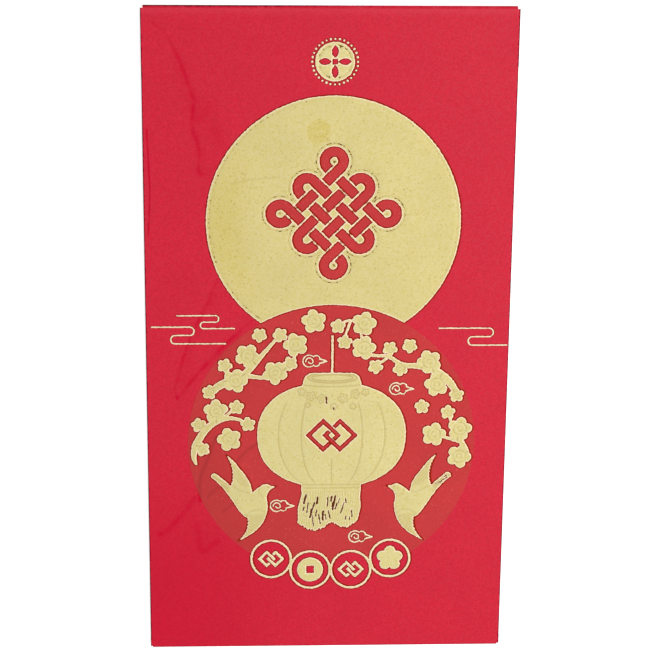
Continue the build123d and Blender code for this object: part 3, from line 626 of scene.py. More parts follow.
# Materials
class Shading:
    """A material whose nodes are made and wired in short lines; sizes are in millimetres."""

    def __init__(self, name):
        self.material = bpy.data.materials.new(name)
        self.material.use_nodes = True
        self.tree = self.material.node_tree
        self.surface = self.tree.nodes["Principled BSDF"]

    @cached_property
    def place(self):
        return self.tree.nodes.new("ShaderNodeTexCoord").outputs["Object"]

    def put(self, socket, value):
        if isinstance(value, bpy.types.NodeSocket):
            self.tree.links.new(value, socket)
        elif socket.type == "RGBA":
            socket.default_value = (*value, 1.0)
        else:
            socket.default_value = value

    def texture(self, kind, size):
        """A texture with spots of about that size."""
        node = self.tree.nodes.new(kind)
        self.put(node.inputs["Vector"], self.place)
        self.put(node.inputs["Scale"], 1 / (size * MM))
        return node

    def noise(self, size, detail=2.0, roughness=0.5):
        node = self.texture("ShaderNodeTexNoise", size)
        self.put(node.inputs["Detail"], detail)
        self.put(node.inputs["Roughness"], roughness)
        return node.outputs["Fac"]

    def grains(self):
        """A random value for each fine grain."""
        split = self.tree.nodes.new("ShaderNodeSeparateColor")
        self.put(split.inputs["Color"], self.texture("ShaderNodeTexVoronoi", GRAIN).outputs["Color"])
        return split.outputs["Red"]

    def painted(self, name):
        """A value painted on the mesh."""
        node = self.tree.nodes.new("ShaderNodeAttribute")
        node.attribute_name = name
        return node.outputs["Fac"]

    def span(self, value, low, high, to_low=0.0, to_high=1.0):
        node = self.tree.nodes.new("ShaderNodeMapRange")
        node.interpolation_type = "SMOOTHSTEP"
        for key, number in zip(("Value", "From Min", "From Max", "To Min", "To Max"),
                               (value, low, high, to_low, to_high)):
            self.put(node.inputs[key], number)
        return node.outputs["Result"]

    def spread(self, noise, to_low=0.0, to_high=1.0):
        """A noise drawn out, so that most of it fills the given span."""
        return self.span(noise, 0.3, 0.7, to_low, to_high)

    def math(self, operation, first, second):
        node = self.tree.nodes.new("ShaderNodeMath")
        node.operation = operation
        self.put(node.inputs[0], first)
        self.put(node.inputs[1], second)
        return node.outputs["Value"]

    def mix(self, factor, first, second):
        """A mix of two colours."""
        node = self.tree.nodes.new("ShaderNodeMix")
        node.data_type = "RGBA"
        self.put(node.inputs["Factor"], factor)
        self.put(node.inputs[6], first)
        self.put(node.inputs[7], second)
        return node.outputs[2]

    def bump(self, height, depth, strength):
        """Fine relief of that depth."""
        node = self.tree.nodes.new("ShaderNodeBump")
        self.put(node.inputs["Height"], height)
        self.put(node.inputs["Distance"], depth * MM)
        self.put(node.inputs["Strength"], strength)
        self.put(self.surface.inputs["Normal"], node.outputs["Normal"])

    def set(self, **values):
        for key, value in values.items():
            self.put(self.surface.inputs[key.replace("_", " ")], value)


def finish(make):
    """The material that a function makes, named after it and made only once."""
    name = make.__name__
    if name not in bpy.data.materials:
        make(Shading(name))
    return bpy.data.materials[name]


def shaded(colour, share):
    return [channel * share for channel in colour]


def edge_share(look):
    """How much painted shade darkens the card at the envelope's outer edge, where it turns under."""
    uneven = look.spread(look.noise(1.1), -0.08, 0.08)
    return look.span(look.math("ADD", look.painted("rim"), uneven), 0.34, 0.1)


def dyed_card(look):
    """Satin dyed card with fibres and a slow unevenness of the dye."""
    card = bpy.context.scene.envelope_card
    fibres = look.noise(0.55, detail=3.0, roughness=0.65)
    dye = look.noise(14.0)
    grains = look.grains()
    tone = look.mix(look.spread(dye), shaded(card.red, 0.96), shaded(card.red, 1.04))
    tone = look.mix(look.spread(fibres), shaded(card.red, 0.86), tone)
    tone = look.mix(look.math("MULTIPLY", grains, 0.16), tone, shaded(card.red, 0.84))
    broken = look.span(look.noise(2.6, detail=3.0), 0.36, 0.62, 0.55, 1.0)
    shade = look.math("MULTIPLY", look.painted("shade"), broken)
    painted_shade = look.math("ADD", shade, look.painted("tarnish"))
    edge = edge_share(look)
    # painted shade in the wrinkles, the groove and the lower left
    tone = look.mix(painted_shade, tone, shaded(card.red, 0.84))
    # painted highlight along the top edge
    tone = look.mix(look.painted("halo"), tone, card.pale)
    # painted shade where the card turns under at the edge, which also takes the gloss off
    tone = look.mix(edge, tone, card.edge)
    gloss = look.span(look.math("MAXIMUM", painted_shade, edge), 0.0, 0.7, 0.22, 0.0)
    gloss = look.math("MULTIPLY", gloss, look.span(grains, 0.0, 1.0, 1.25, 0.75))
    look.set(Base_Color=tone, Roughness=look.spread(fibres, 0.42, 0.54), Specular_IOR_Level=gloss)
    look.bump(fibres, 0.03, 0.4)


def folded_card(look):
    """Card at a fold, where the dye is cracked and worn paler in places, with painted shade where it turns
    under.
    """
    card = bpy.context.scene.envelope_card
    fibres = look.noise(0.3, detail=4.0, roughness=0.7)
    wear = look.noise(2.2, detail=3.0)
    cracks = look.math("MULTIPLY", look.span(wear, 0.5, 0.72), look.span(fibres, 0.42, 0.62))
    tone = look.mix(look.span(fibres, 0.25, 0.75), shaded(card.red, 0.82), card.red)
    tone = look.mix(look.math("MULTIPLY", cracks, 0.35), tone, card.cracked)
    edge = edge_share(look)
    # painted shade where the fold turns under
    tone = look.mix(edge, tone, card.edge)
    look.set(Base_Color=tone, Roughness=0.6, Specular_IOR_Level=look.span(edge, 0.0, 1.0, 0.2, 0.0))
    look.bump(fibres, 0.02, 0.4)


def brick_ink(look):
    """Dull brick-red ink, a little grainy where the card takes it unevenly."""
    card = bpy.context.scene.envelope_card
    uneven = look.noise(0.55, detail=3.0, roughness=0.7)
    cover = look.noise(16.0, detail=1.0)
    grains = look.grains()
    tone = look.mix(look.spread(cover), shaded(card.ink, 0.95), shaded(card.ink, 1.05))
    tone = look.mix(look.span(uneven, 0.58, 0.8), tone, shaded(card.ink, 1.25))
    tone = look.mix(look.span(uneven, 0.42, 0.25), tone, shaded(card.ink, 0.75))
    tone = look.mix(look.math("MULTIPLY", grains, 0.4), tone, shaded(card.ink, 0.8))
    tone = look.mix(look.span(grains, 0.975, 0.99, 0.0, 0.4), tone, card.speck)
    tone = look.mix(look.painted("shade"), tone, shaded(card.ink, 0.68))
    look.set(Base_Color=tone, Roughness=0.62, Specular_IOR_Level=0.15)
    look.bump(uneven, 0.015, 0.3)


def stamped_foil(look):
    """Matte champagne foil with a fine grain, a pale rim of painted highlight, painted shade in its grooves,
    and frayed, pressed edges that are partly painted shadow.
    """
    foil = bpy.context.scene.envelope_foil
    tarnish = look.painted("tarnish")
    grain = look.grains()
    fray = look.noise(0.55, roughness=0.6)
    ragged = look.math("ADD", look.painted("rim"), look.span(fray, 0.25, 0.75, -0.08, 0.08))
    from_line = look.math("ABSOLUTE", look.math("SUBTRACT", ragged, EDGE_LINE_INSET), 0.0)
    edge_line = look.math("MULTIPLY", look.span(from_line, 0.24, 0.06), look.painted("edge_line"))
    # Gold with its grain, a stain, painted shade on the moon's left, specks, and pressed lines and grooves in
    # painted shade
    tone = look.mix(look.spread(look.noise(11.0)), shaded(foil.gold, 0.97), shaded(foil.gold, 1.04))
    coarse = look.span(tarnish, 0.0, 0.5, 0.52, 0.95)
    deep = [channel * share for channel, share in zip(foil.gold, (0.90, 0.86, 0.35))]
    tone = look.mix(look.math("MULTIPLY", grain, coarse), tone, deep)
    tone = look.mix(tarnish, tone, foil.tarnish)
    often = look.math("ADD", grain, look.math("MULTIPLY", tarnish, 0.1))
    speck = look.span(often, 0.965, 0.985, 0.0, 0.36)
    # painted shade in the grooves and pressed lines, with the specks in the same colour
    line = look.math("MAXIMUM", look.painted("shade"), look.math("MULTIPLY", edge_line, 0.5))
    tone = look.mix(look.math("MAXIMUM", line, speck), tone, foil.line)
    # Painted highlight along the rim, flaked places and painted shadow in the slits, and the pressed edge
    # outside, partly painted shadow
    width = foil.rim_width / MM
    tone = look.mix(look.span(ragged, width, width * 0.4), tone, foil.rim)
    # painted shadow in the slits, with real flakes along the pressed lines
    gaps = look.math("MULTIPLY", look.math("MAXIMUM", look.painted("halo"), edge_line), 0.44)
    flaked = look.span(look.math("ADD", fray, gaps), 0.75, 0.82)
    tone = look.mix(flaked, tone, foil.flaked)
    # partly painted shadow: the dark pressed edge outside the foil
    bare = look.span(ragged, 0.11, 0.05)
    tone = look.mix(bare, tone, foil.pressed)
    uncovered = look.math("MAXIMUM", bare, flaked)
    look.set(Base_Color=tone, Metallic=look.span(uncovered, 0.0, 0.6, 0.18, 0.0),
             Specular_IOR_Level=look.span(uncovered, 0.0, 0.6, 0.25, 0.0),
             Roughness=look.span(grain, 0.0, 1.0, 0.46, 0.58))
    look.bump(look.noise(0.4, detail=3.0), 0.02, 0.3)


def dried_glue(look):
    """Dried glue, pale and slightly streaked."""
    glue = bpy.context.scene.envelope_card.glue
    streaks = look.noise(1.4, detail=3.0)
    tone = look.mix(look.spread(streaks), shaded(glue, 0.85), shaded(glue, 1.08))
    look.set(Base_Color=tone, Roughness=look.spread(streaks, 0.35, 0.6))
    look.bump(streaks, 0.02, 0.4)


# Card pieces
def age_front(sheet):
    """Paints shade and lost gloss in the wrinkles and groove, painted shade that darkens and dulls the lower
    left, and a painted highlight that pales the top edge.
    """
    groove = bell(path_distance(sheet.x, sheet.y, LEFT_GROOVE), GROOVE_WIDTH)
    sheet.paint["shade"] = np.maximum(wrinkle_shade(sheet.x, sheet.y), groove)
    # painted shade, darker and duller towards the lower left
    sheet.paint["tarnish"] = 0.33 * smooth(-sheet.y, *SHADE_LOW) * smooth(-sheet.x, *SHADE_LEFT)
    # painted highlight along the top edge
    sheet.paint["halo"] = 0.22 * smooth(sheet.y, front_high.y - TOP_HIGHLIGHT[0], front_high.y - TOP_HIGHLIGHT[1])


def bent_card(name, node, shape, bend=None, body="envelope", age=None):
    """A panel in its node's place, with the bend that a function gives at each point."""
    low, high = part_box(node)
    sheet = Sheet(shape)
    sheet.paint["rim"] = edge_distance(sheet.x, sheet.y)
    if age:
        age(sheet)
    sheet.write_paint()
    if bend:
        for vert, rise in zip(sheet.verts, bend(sheet.x, sheet.y)):
            vert.co.z += rise * MM
    thicken(shape, high.z - low.z)
    shade_smooth(shape)
    seat(add_object(name, shape, finish(dyed_card)), node, body)


def tab_ridges(x, y):
    """The tabs' inner edges show on the back as faint ridges."""
    tab_edges = [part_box("left_glue_tab")[1].x / MM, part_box("right_glue_tab")[0].x / MM]
    return -TAB_RIDGE * sum(bell(x - edge, TAB_RIDGE_WIDTH) for edge in tab_edges)


def flap_swell(x, y):
    """The closed flap swells a little towards the back."""
    low, high = box_mm("top_flap")
    along = (high.y - y) / (high.y - low.y)
    return FLAP_SWELL * np.sin(pi * np.clip(along, 0, 1)) * np.cos(pi * x / (1.1 * (high.x - low.x)))


class EnvelopeFrontSheet(bpy.types.Operator):
    """Makes the front panel with its soft wrinkles."""
    bl_idname = "envelope.front_sheet"
    bl_label = "Front sheet"

    def execute(self, context):
        node = "front_panel"
        shape = flat_top(node, context.scene.envelope_card.cell)
        refine_wrinkles(shape)
        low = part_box(node)[0]
        cut_cells(shape, low, low + Vector((GROOVE_REACH * MM, 0, 0)), GROOVE_CELL * MM, axes=[0])
        bent_card("front_sheet", node, shape, paper_lift, age=age_front)
        return {"FINISHED"}


class EnvelopeBackSheets(bpy.types.Operator):
    """Makes the back panel, the flap and the two glue tabs."""
    bl_idname = "envelope.back_sheets"
    bl_label = "Back sheets"

    def execute(self, context):
        cell = 2 * context.scene.envelope_card.cell
        bent_card("back_sheet", "back_panel", flat_top("back_panel", cell), tab_ridges)
        flap = flat_top("top_flap", cell)
        flap_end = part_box("top_flap")[1].y - FLAP_GAP * MM
        for vert in flap.verts:
            vert.co.y = min(vert.co.y, flap_end)
        bent_card("flap_sheet", "top_flap", flap, flap_swell, body="flap")
        for side in ("left", "right"):
            node = f"{side}_glue_tab"
            bent_card(f"{side}_tab_sheet", node, flat_top(node, cell))
        return {"FINISHED"}


class EnvelopeFolds(bpy.types.Operator):
    """Makes the four folded edges, slightly uneven along their length."""
    bl_idname = "envelope.folds"
    bl_label = "Folded edges"

    def execute(self, context):
        for side, axis in (("left", 1), ("right", 1), ("bottom", 0), ("top", 0)):
            node = f"{side}_crease"
            low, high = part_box(node)
            centre = (low + high) / 2
            shape = solid_shape(node)
            cut_cells(shape, low, high, 2 * context.scene.envelope_card.cell, axes=[axis])
            sheet = Sheet(shape)
            sheet.paint["rim"] = edge_distance(sheet.x, sheet.y)
            sheet.write_paint()
            for vert in shape.verts:
                along = vert.co[axis] / MM
                worn = FOLD_WEAR * (1 + sin(along / FOLD_WAVES[0]) * sin(along / FOLD_WAVES[1] + 1.0))
                outside = smooth((vert.co - centre).length / MM, 0.0, 1.0)
                vert.co[1 - axis] += (centre[1 - axis] - vert.co[1 - axis]) * worn * outside
            shade_smooth(shape)
            piece = add_object(f"{side}_fold", shape, finish(folded_card))
            if side == "top":
                pivot = Vector(frame["joints"][0]["pos_m"])
                middle = Vector((0, 0, (high.z - low.z) / 2 - PAPER_THICKNESS * MM / 2))
                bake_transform(piece, "envelope", "flap", start=pivot + middle, end=pivot - middle)
            else:
                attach(piece, "envelope")
            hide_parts(node)
        return {"FINISHED"}


class EnvelopeGlueStrips(bpy.types.Operator):
    """Makes the two strips of dried glue, with uneven edges."""
    bl_idname = "envelope.glue_strips"
    bl_label = "Glue strips"

    def execute(self, context):
        for side in ("left", "right"):
            node = f"{side}_glue_strip"
            low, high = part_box(node)
            middle = (low + high) / 2
            shape = flat_top(node, context.scene.envelope_card.cell)
            for vert in shape.verts:
                along = vert.co.y / MM
                squeeze = 1 - GLUE_SQUEEZE * (1 + sin(along / GLUE_WAVES[0]) * sin(along / GLUE_WAVES[1]))
                vert.co.x = middle.x + (vert.co.x - middle.x) * squeeze
            thicken(shape, high.z - low.z)
            seat(add_object(f"{side}_glue", shape, finish(dried_glue)), node)
        return {"FINISHED"}


# Printed and stamped pieces; heights are shares of the foil's thickness
class EnvelopeTints(bpy.types.Operator):
    """Prints the dull disc and the ground under the moon."""
    bl_idname = "envelope.tints"
    bl_label = "Ink"

    def execute(self, context):
        for name, node in (("disc_ink", "scene_tint"), ("moon_ink", "moon_tint")):
            shape = flat_top(node, context.scene.envelope_card.cell)
            refine_wrinkles(shape)
            sheet = Sheet(shape)
            x, y = sheet.x - PRINT_X, sheet.y - DISC_Y
            darker = smooth(np.hypot(x, y), 0.55 * DISC_RADIUS, DISC_RADIUS) * smooth(-x - y, 10.0, 40.0)
            sheet.paint["shade"] = np.clip(wrinkle_shade(sheet.x, sheet.y) + 0.3 * darker, 0, 1)
            raise_sheet(sheet, name, node, np.ones(len(x)), 0.0, finish(brick_ink))
        return {"FINISHED"}


def rounded(sheet, edge=0.7, width=0.2):
    """A height that rises from the outline to the full foil."""
    return edge + (1 - edge) * smooth(sheet.depth_in, 0.0, width)


def thin_relief(gold_shift, edge=0.6, width=0.2):
    """A rounded line or bead, whose gold comes nearer to its edge by the shift."""
    def relief(sheet):
        sheet.paint["rim"] = sheet.depth_in + gold_shift
        return rounded(sheet, edge, width)
    return relief


def moon_relief(sheet):
    """A flat plate with a line pressed inside its rim and a broken one round the knot, a stain, and painted
    shade that yellows its left.
    """
    x, y = sheet.x - PRINT_X, sheet.y - MOON_Y
    from_rim = MOON_RADIUS - np.hypot(x, y)
    knot = Vector((PRINT_X, MOON_Y + KNOT_RISE))
    from_knot = sheet.depth(lambda spot: (spot.xy - knot).length < KNOT_REACH)
    near_knot = smooth(from_knot, *KNOT_LINE_REACH)
    outside = smooth(np.hypot(x, y - KNOT_RISE), *KNOT_MIDDLE)
    from_stain = np.hypot(sheet.x - STAIN_PLACE[0], sheet.y - STAIN_PLACE[1])
    stain = smooth(from_stain, STAIN_RADIUS, STAIN_RADIUS - STAIN_FADE)
    # painted shade, yellower and darker on the moon's left
    yellowed = smooth(-x, *MOON_SHADE_LEFT) * bell(from_rim - MOON_SHADE_INSET, MOON_SHADE_SPREAD[0])
    yellowed = yellowed * bell(y + 2.0, MOON_SHADE_SPREAD[1])
    line = bell(sheet.depth_in - EDGE_LINE_INSET, EDGE_LINE_WIDTH)
    wrinkle = bell(path_distance(sheet.x, sheet.y, MOON_WRINKLE), CREASE_LINE)
    rim_line = smooth(from_rim, *RIM_LINE_REACH) * (0.2 + 0.24 * smooth(-x, 0.0, 15.0))
    sheet.paint["edge_line"] = rim_line + 0.56 * near_knot * outside
    # the stain is the foil's own; the band on the left is painted shade
    sheet.paint["tarnish"] = 0.08 + 0.36 * stain + 0.36 * yellowed
    sheet.paint["shade"] = 0.08 + 0.22 * wrinkle
    pressed = 0.28 * line + 0.04 * stain + 0.15 * wrinkle
    return np.clip(rounded(sheet) - pressed, 0.2, 1.0)


def seal_relief(sheet):
    """A small plate with a line pressed inside its rim."""
    low, high = box_mm("seal_foil")
    reach = np.hypot(sheet.x - (low.x + high.x) / 2, sheet.y - (low.y + high.y) / 2)
    from_rim = (high.x - low.x) / 2 - reach
    sheet.paint["edge_line"] = 0.5 * smooth(from_rim, 1.4, 1.2)
    return np.clip(rounded(sheet) - 0.4 * bell(from_rim - EDGE_LINE_INSET, EDGE_LINE_WIDTH), 0.2, 1.0)


def blossom(x, y, radius, turned):
    """Height and dark lines of cupped petals, a broken ring and a raised bud, from the blossom's centre."""
    reach = np.hypot(x, y)
    angle = np.arctan2(y, x)
    step = 2 * pi / PETALS
    off_middle = np.abs((angle - turned + step / 2) % step - step / 2)
    off_notch = (step / 2 - off_middle) * reach
    from_ring = reach - PETAL_RING * radius
    from_bud = reach - BUD_RING * radius
    height = 0.84 + 0.16 * smooth(reach, 0.45 * radius, 0.85 * radius)
    height -= 0.3 * bell(off_notch, 0.15) * smooth(reach, 0.42 * radius, 0.6 * radius)
    height -= 0.26 * bell(from_ring, 0.14)
    height -= 0.2 * bell(from_bud, 0.13)
    broken = 0.5 + 0.5 * np.sin(2 * angle + 9 * turned)
    lines = 0.85 * bell(off_notch, 0.13) * smooth(reach, 0.58 * radius, 0.72 * radius)
    lines = np.maximum(lines, (0.12 + 0.5 * broken) * bell(from_ring, 0.12))
    lines = np.maximum(lines, (0.55 - 0.45 * broken) * bell(from_bud, 0.12))
    return height, lines


def branch_relief(node):
    """Twigs with rough bark, and a blossom at each place."""
    def relief(sheet):
        bark = np.sin(sheet.x * 5.1 + 1.7 * np.sin(sheet.y * 2.3)) * np.sin(sheet.y * 4.3 - sheet.x)
        bark = 0.5 + 0.5 * bark
        height = 0.55 + 0.42 * smooth(sheet.depth_in, 0.0, 0.4)
        height -= 0.12 * bark * smooth(sheet.depth_in, 0.1, 0.4)
        lines = 0.25 * bark * smooth(sheet.depth_in, 0.3, 0.6)
        for angle, margin, radius in BLOSSOMS[node]:
            turned = radians(angle)
            away = DISC_RADIUS - margin - radius
            x = sheet.x - PRINT_X - away * cos(turned)
            y = sheet.y - DISC_Y - away * sin(turned)
            inside = np.hypot(x, y) < radius
            petals, petal_lines = blossom(x, y, radius, turned)
            height = np.where(inside, petals * rounded(sheet), height)
            lines = np.where(inside, petal_lines, lines)
        sheet.paint["shade"] = lines
        return np.clip(height, 0.12, 1.0)
    return relief


def paint_slits(sheet, from_slit, from_edge):
    """Short slits in the foil, dark inside with painted shadow and pale beside with a painted highlight."""
    sheet.paint["halo"] = 2.0 * bell(from_slit, SLIT_WIDTH)
    sheet.paint["rim"] = np.minimum(from_edge, np.maximum(from_slit, SLIT_WIDTH))


def lantern_relief(sheet):
    """A swelling body with ribs and a garland, an oval mouth in the cap and two lines on the base."""
    body_y = lantern_low.y + BASE_HEIGHT + LANTERN_BODY / 2
    half_width = (lantern_high.x - lantern_low.x) / 2
    x, y = sheet.x - PRINT_X, sheet.y - body_y
    across, along = x / half_width, np.clip(y / LANTERN_OVAL, -1, 1)
    height = rounded(sheet) * (0.72 + 0.28 * np.sqrt(np.clip(1 - 0.8 * (across**2 + along**2), 0, 1)))
    under_cap = smooth(y, RIB_TOP + RIB_FADE, RIB_TOP - RIB_FADE)
    over_base = smooth(y, *RIB_FOOT)
    marks = [bell(x, FINE_LINE) * smooth(y, *SEAM_TOP) * over_base]
    for rib in RIBS:
        off = x - rib * half_width * (1 - along**2 + 1e-6) ** RIB_CURVE
        marks.append(bell(off, PRESSED_LINE) * under_cap * over_base)
    cap_y = y - LANTERN_BODY / 2 - CAP_HEIGHT / 2
    for half_oval, rise in CAP_OVALS:
        marks.append(1.4 * bell(oval_distance(x, cap_y - CAP_OVAL_RISE, half_oval, rise), PRESSED_LINE))
    for drop in BASE_LINES:
        marks.append(bell(y + LANTERN_BODY / 2 + drop, FINE_LINE))
    from_collar = y - LANTERN_BODY / 2 + COLLAR_DROP - COLLAR_CURVE * x**2
    marks.append(bell(from_collar, PRESSED_LINE) * (np.abs(x) < COLLAR_REACH))
    for place_x, place_y, radius in GARLAND:
        near_x, near_y = x - place_x, y - place_y
        reach = np.hypot(near_x, near_y)
        edge = radius * (0.88 + 0.14 * np.cos(PETALS * np.arctan2(near_y, near_x) + place_x))
        marks.append(1.25 * bell(reach - edge, PETAL_LINE))
        marks.append(smooth(radius, 0.7, 1.2) * bell(reach - 0.4 * radius, BUD_LINE))
        height += 0.15 * bell(reach, 0.8 * radius)
    lines = np.max(marks, axis=0)
    # slits of painted shadow, with a painted highlight beside
    from_slit = path_distance(x, y, *LANTERN_SLITS)
    paint_slits(sheet, from_slit, sheet.depth(lambda spot: spot.y > lantern_low.y + JOIN))
    sheet.paint["shade"] = 0.5 * lines
    return np.clip(height - 0.3 * lines - 0.4 * bell(from_slit, 0.18), 0.1, 1.0)


def tassel_shape(cell):
    """Two tufts of strands, flat, from the lantern's base down to their ragged tips."""
    shape = layered_shape()
    length = lantern_low.y - tassel_low.y
    across_count = ceil(2 * TASSEL_TIP * MM / cell)
    bmesh.ops.create_grid(shape, x_segments=across_count, y_segments=ceil(length * MM / cell), size=0.5)
    for vert in shape.verts:
        across, down = 2 * vert.co.x, 0.5 - vert.co.y
        ragged = 0.3 * abs(sin(TASSEL_STRANDS / 2 * pi * across)) + 0.25 * sin(17 * across) * sin(41 * across)
        side = 1 if across > TUFT_SHIFT else -1
        scallop = TASSEL_SCALLOP * (1 - sin(pi * (1 - side * across) / (1 - side * TUFT_SHIFT)))
        tip = length - scallop - RIGHT_TUFT * smooth(across, TUFT_SHIFT - 0.1, TUFT_SHIFT + 0.3) - ragged
        bulge = 0.25 * sin(pi * down) + 0.12 * sin(9 * down + 3 * across)
        half = TASSEL_ROOT + (TASSEL_TIP - TASSEL_ROOT) * down + bulge
        x = PRINT_X + across * half - TASSEL_SWAY * down
        vert.co = Vector((x, lantern_low.y - down * tip, tassel_high.z)) * MM
    return shape


def tassel_relief(sheet):
    """Wavy strands with painted shade between them, and dark slits of painted shadow between some of them."""
    down = (lantern_low.y - sheet.y) / (lantern_low.y - tassel_low.y)
    across = (sheet.x - PRINT_X + TASSEL_SWAY * down) / TASSEL_TIP
    wavy = across + 0.035 * np.sin(7 * down + 5 * across)
    strands = np.abs(np.sin(TASSEL_STRANDS / 2 * pi * wavy))
    from_slit = np.full(len(across), np.inf)
    for width, start, end in TASSEL_SLITS:
        away = path_distance(sheet.x - PRINT_X, lantern_low.y - sheet.y, [start, end])
        from_slit = np.minimum(from_slit, np.maximum(away - width, 0))
    paint_slits(sheet, from_slit, sheet.depth_in)
    sheet.paint["shade"] = 0.3 * (1 - strands) ** 2
    return np.clip(rounded(sheet) * (0.62 + 0.38 * strands) - 0.5 * bell(from_slit, 0.15), 0.1, 1.0)


def feathered(x, y, across, pitch):
    """Waves from 0 to 1 across the feathers."""
    return 0.5 + 0.5 * np.cos(2 * pi * (across[0] * x + across[1] * y) / pitch)


def bird_relief(side):
    """A full body, wings and tail with feathers, and an eye; side is -1 left or 1 right."""
    def relief(sheet):
        x = -side * (sheet.x - PRINT_X) - BIRD_BODY[0]
        y = sheet.y - DISC_Y - BIRD_BODY[1]
        height = 0.6 + 0.4 * smooth(sheet.depth_in, 0.0, 0.7)
        over_back = y + BACK_SLOPE * x
        raised_wing = smooth(over_back, 1.6, 2.4) * smooth(y, 3.2, 4.2) * smooth(x, 0.9, 0.2)
        lowered_wing = smooth(y, -3.4, -4.4)
        tail = smooth(x, -5.0, -5.8) * smooth(over_back, 1.0, 0.2)
        feathers = raised_wing * feathered(x, y, RAISED_FEATHERS, FEATHER_PITCH)
        feathers += lowered_wing * feathered(x, y, LOWERED_FEATHERS, FEATHER_PITCH)
        feathers += tail * feathered(x, y, QUILLS, QUILL_PITCH)
        lines = bell(path_distance(x, y, *BIRD_CREASES), CREASE_LINE)
        eye = bell(np.hypot(x - BIRD_EYE[0], y - BIRD_EYE[1]), CREASE_LINE)
        from_trail = path_distance(x, y, *BIRD_TRAILS)
        before_tips = smooth(y, 11.4, 9.6) * smooth(y, -10.2, -8.4)
        notch = NOTCH_DEPTH * (y / NOTCH_PITCH % 1) * smooth(from_trail, *NOTCH_REACH) * before_tips
        # tail slits of painted shadow
        slits = TAIL_SLITS if side > 0 else []
        paint_slits(sheet, TAIL_SLIT_SPARE + path_distance(x, y, *slits), sheet.depth_in - notch)
        sheet.paint["shade"] = np.clip(0.26 * lines + 0.36 * feathers + 0.9 * eye, 0, 1)
        return np.clip(height - 0.2 * lines - 0.16 * feathers - 0.4 * eye, 0.12, 1.0)
    return relief


class EnvelopeMoon(bpy.types.Operator):
    """Stamps the moon with the knot cut out of it."""
    bl_idname = "envelope.moon"
    bl_label = "Moon"

    def execute(self, context):
        stamp("moon", "moon_foil", moon_relief, cell="plate_cell")
        return {"FINISHED"}


class EnvelopeSeal(bpy.types.Operator):
    """Stamps the small seal and the beads round it."""
    bl_idname = "envelope.seal"
    bl_label = "Seal"

    def execute(self, context):
        beads = thin_relief(0.04, edge=0.5, width=0.26)
        stamp("seal", "seal_foil", seal_relief, skirt="fine_skirt")
        stamp("seal_beads", "seal_bead_foils", beads, cell="line_cell", skirt="fine_skirt")
        return {"FINISHED"}


class EnvelopeLantern(bpy.types.Operator):
    """Stamps the lantern and its tassel."""
    bl_idname = "envelope.lantern"
    bl_label = "Lantern"

    def execute(self, context):
        foil = context.scene.envelope_foil
        stamp("lantern", "lantern_foil", lantern_relief)
        sheet = Sheet(tassel_shape(foil.line_cell), lambda spot: spot.y < lantern_low.y - JOIN)
        raise_sheet(sheet, "tassel", "lantern_tassel_foil", tassel_relief(sheet), foil.skirt,
                    finish(stamped_foil))
        return {"FINISHED"}


class EnvelopeBranches(bpy.types.Operator):
    """Stamps the plum branches and the loose blossoms."""
    bl_idname = "envelope.branches"
    bl_label = "Plum branches"

    def execute(self, context):
        for node in BLOSSOMS:
            name = node.replace("_foils", "s").replace("_foil", "")
            stamp(name, node, branch_relief(node))
        return {"FINISHED"}


class EnvelopeBirds(bpy.types.Operator):
    """Stamps the two birds."""
    bl_idname = "envelope.birds"
    bl_label = "Birds"

    def execute(self, context):
        for name, side in (("left_bird", -1), ("right_bird", 1)):
            stamp(name, f"{name}_foil", bird_relief(side))
        return {"FINISHED"}


class EnvelopeClouds(bpy.types.Operator):
    """Stamps the cloud scrolls and the cloud lines."""
    bl_idname = "envelope.clouds"
    bl_label = "Clouds"

    def execute(self, context):
        for name, node in (("cloud_scrolls", "cloud_scroll_foils"),
                           ("left_cloud_lines", "left_cloud_line_foils"),
                           ("right_cloud_line", "right_cloud_line_foil")):
            stamp(name, node, thin_relief(0.07), cell="line_cell", skirt="fine_skirt")
        return {"FINISHED"}


class EnvelopeRings(bpy.types.Operator):
    """Stamps the chain of rings, whose gold stops short of the edges, and the ornaments inside them."""
    bl_idname = "envelope.rings"
    bl_label = "Rings"

    def execute(self, context):
        stamp("ring_chain", "ring_chain_foil", thin_relief(-0.03))
        stamp("ring_emblems", "ring_emblem_foils", thin_relief(0.07))
        return {"FINISHED"}


# Stage
def pale_floor(look):
    """A pale floor that shows white to the camera and still takes the shadow."""
    seen = look.tree.nodes.new("ShaderNodeLightPath").outputs["Is Camera Ray"]
    look.set(Base_Color=bpy.context.scene.envelope_stage.floor, Roughness=0.9, Specular_IOR_Level=0.1,
             Emission_Color=(1, 1, 1), Emission_Strength=look.math("MULTIPLY", seen, FLOOR_LIFT))


def light_sky(strength):
    """An even sky of that strength, which is plain white where it is seen or mirrored."""
    world = bpy.data.worlds.new("even_sky")
    bpy.context.scene.world = world
    world.use_nodes = True
    tree = world.node_tree
    sky = tree.nodes["Background"]
    sky.inputs["Color"].default_value = (1, 1, 1, 1)
    path = tree.nodes.new("ShaderNodeLightPath")
    seen = path.outputs["Is Camera Ray"]
    for kind in ("Is Glossy Ray", "Is Transmission Ray"):
        either = tree.nodes.new("ShaderNodeMath")
        either.operation = "MAXIMUM"
        tree.links.new(seen, either.inputs[0])
        tree.links.new(path.outputs[kind], either.inputs[1])
        seen = either.outputs["Value"]
    level = tree.nodes.new("ShaderNodeMapRange")
    level.inputs["To Min"].default_value = strength
    level.inputs["To Max"].default_value = 1.0
    tree.links.new(seen, level.inputs["Value"])
    tree.links.new(level.outputs["Result"], sky.inputs["Strength"])


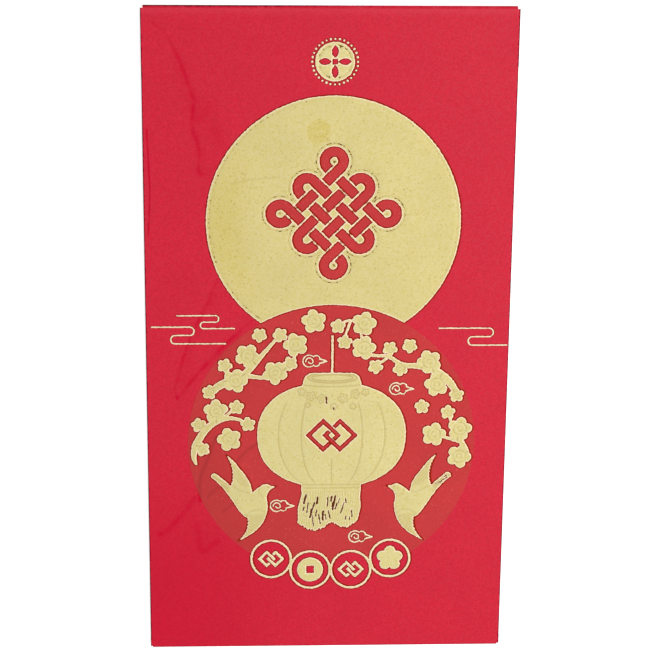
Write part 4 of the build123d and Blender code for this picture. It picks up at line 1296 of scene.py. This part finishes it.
def add_lamp(power):
    lamp = bpy.data.objects.new("soft_lamp", bpy.data.lights.new("soft_lamp", "AREA"))
    lamp.data.size = LAMP_SIZE
    lamp.data.energy = power
    lamp.location = LAMP_PLACE
    lamp.rotation_euler = (-lamp.location).to_track_quat("-Z", "Y").to_euler()
    bpy.context.scene.collection.objects.link(lamp)


def add_camera(stage):
    """A camera that sees the front from the photograph's side."""
    camera = bpy.data.objects.new("camera", bpy.data.cameras.new("camera"))
    camera.data.lens = stage.lens
    camera.data.sensor_width = SENSOR_WIDTH
    camera.data.clip_start = CLIP_START
    turned = (Matrix.Rotation(stage.roll, 3, "Z") @ Matrix.Rotation(stage.tilt, 3, "X")
              @ Matrix.Rotation(stage.yaw, 3, "Y"))
    centre = Vector((0, 0, front_high.z * MM))
    place = centre + turned.transposed() @ Vector((-stage.aside, -stage.below, stage.distance))
    camera.matrix_world = Matrix.Translation(place) @ turned.transposed().to_4x4()
    bpy.context.scene.collection.objects.link(camera)
    bpy.context.scene.camera = camera


class EnvelopeStudio(bpy.types.Operator):
    """Sets up the floor, the light and the camera."""
    bl_idname = "envelope.studio"
    bl_label = "Studio"

    def execute(self, context):
        stage = context.scene.envelope_stage
        context.scene.view_settings.view_transform = "Standard"
        shape = bmesh.new()
        bmesh.ops.create_grid(shape, x_segments=2, y_segments=2, size=FLOOR_REACH)
        bmesh.ops.translate(shape, verts=shape.verts, vec=(0, 0, -FLOOR_GAP * MM))
        add_object("floor", shape, finish(pale_floor))
        light_sky(stage.sky)
        add_lamp(stage.lamp_power)
        add_camera(stage)
        return {"FINISHED"}


class EnvelopePanel(bpy.types.Panel):
    """Lists the envelope's pieces and settings in the sidebar."""
    bl_idname = "VIEW3D_PT_red_envelope"
    bl_label = "Red gift envelope"
    bl_space_type = "VIEW_3D"
    bl_region_type = "UI"
    bl_category = "Envelope"

    def draw(self, context):
        for name, group in SETTINGS.items():
            box = self.layout.box()
            for key in group.__annotations__:
                box.prop(getattr(context.scene, name), key)
        for operator in OPERATORS:
            self.layout.operator(operator.bl_idname)


SETTINGS = {
    "envelope_card": EnvelopeCard,
    "envelope_foil": EnvelopeFoil,
    "envelope_stage": EnvelopeStage,
}
OPERATORS = (
    EnvelopeFrontSheet, EnvelopeBackSheets, EnvelopeFolds, EnvelopeGlueStrips, EnvelopeTints, EnvelopeMoon,
    EnvelopeSeal, EnvelopeLantern, EnvelopeBranches, EnvelopeBirds, EnvelopeClouds, EnvelopeRings,
    EnvelopeStudio,
)


def register():
    for item in (*SETTINGS.values(), *OPERATORS, EnvelopePanel):
        bpy.utils.register_class(item)
    for name, group in SETTINGS.items():
        setattr(bpy.types.Scene, name, PointerProperty(type=group))


def unregister():
    for name in SETTINGS:
        delattr(bpy.types.Scene, name)
    for item in (EnvelopePanel, *reversed(OPERATORS), *reversed(SETTINGS.values())):
        bpy.utils.unregister_class(item)


def main():
    register()
    for operator in OPERATORS:
        getattr(bpy.ops.envelope, operator.bl_idname.split(".")[1])()


if __name__ == "__main__":
    main()
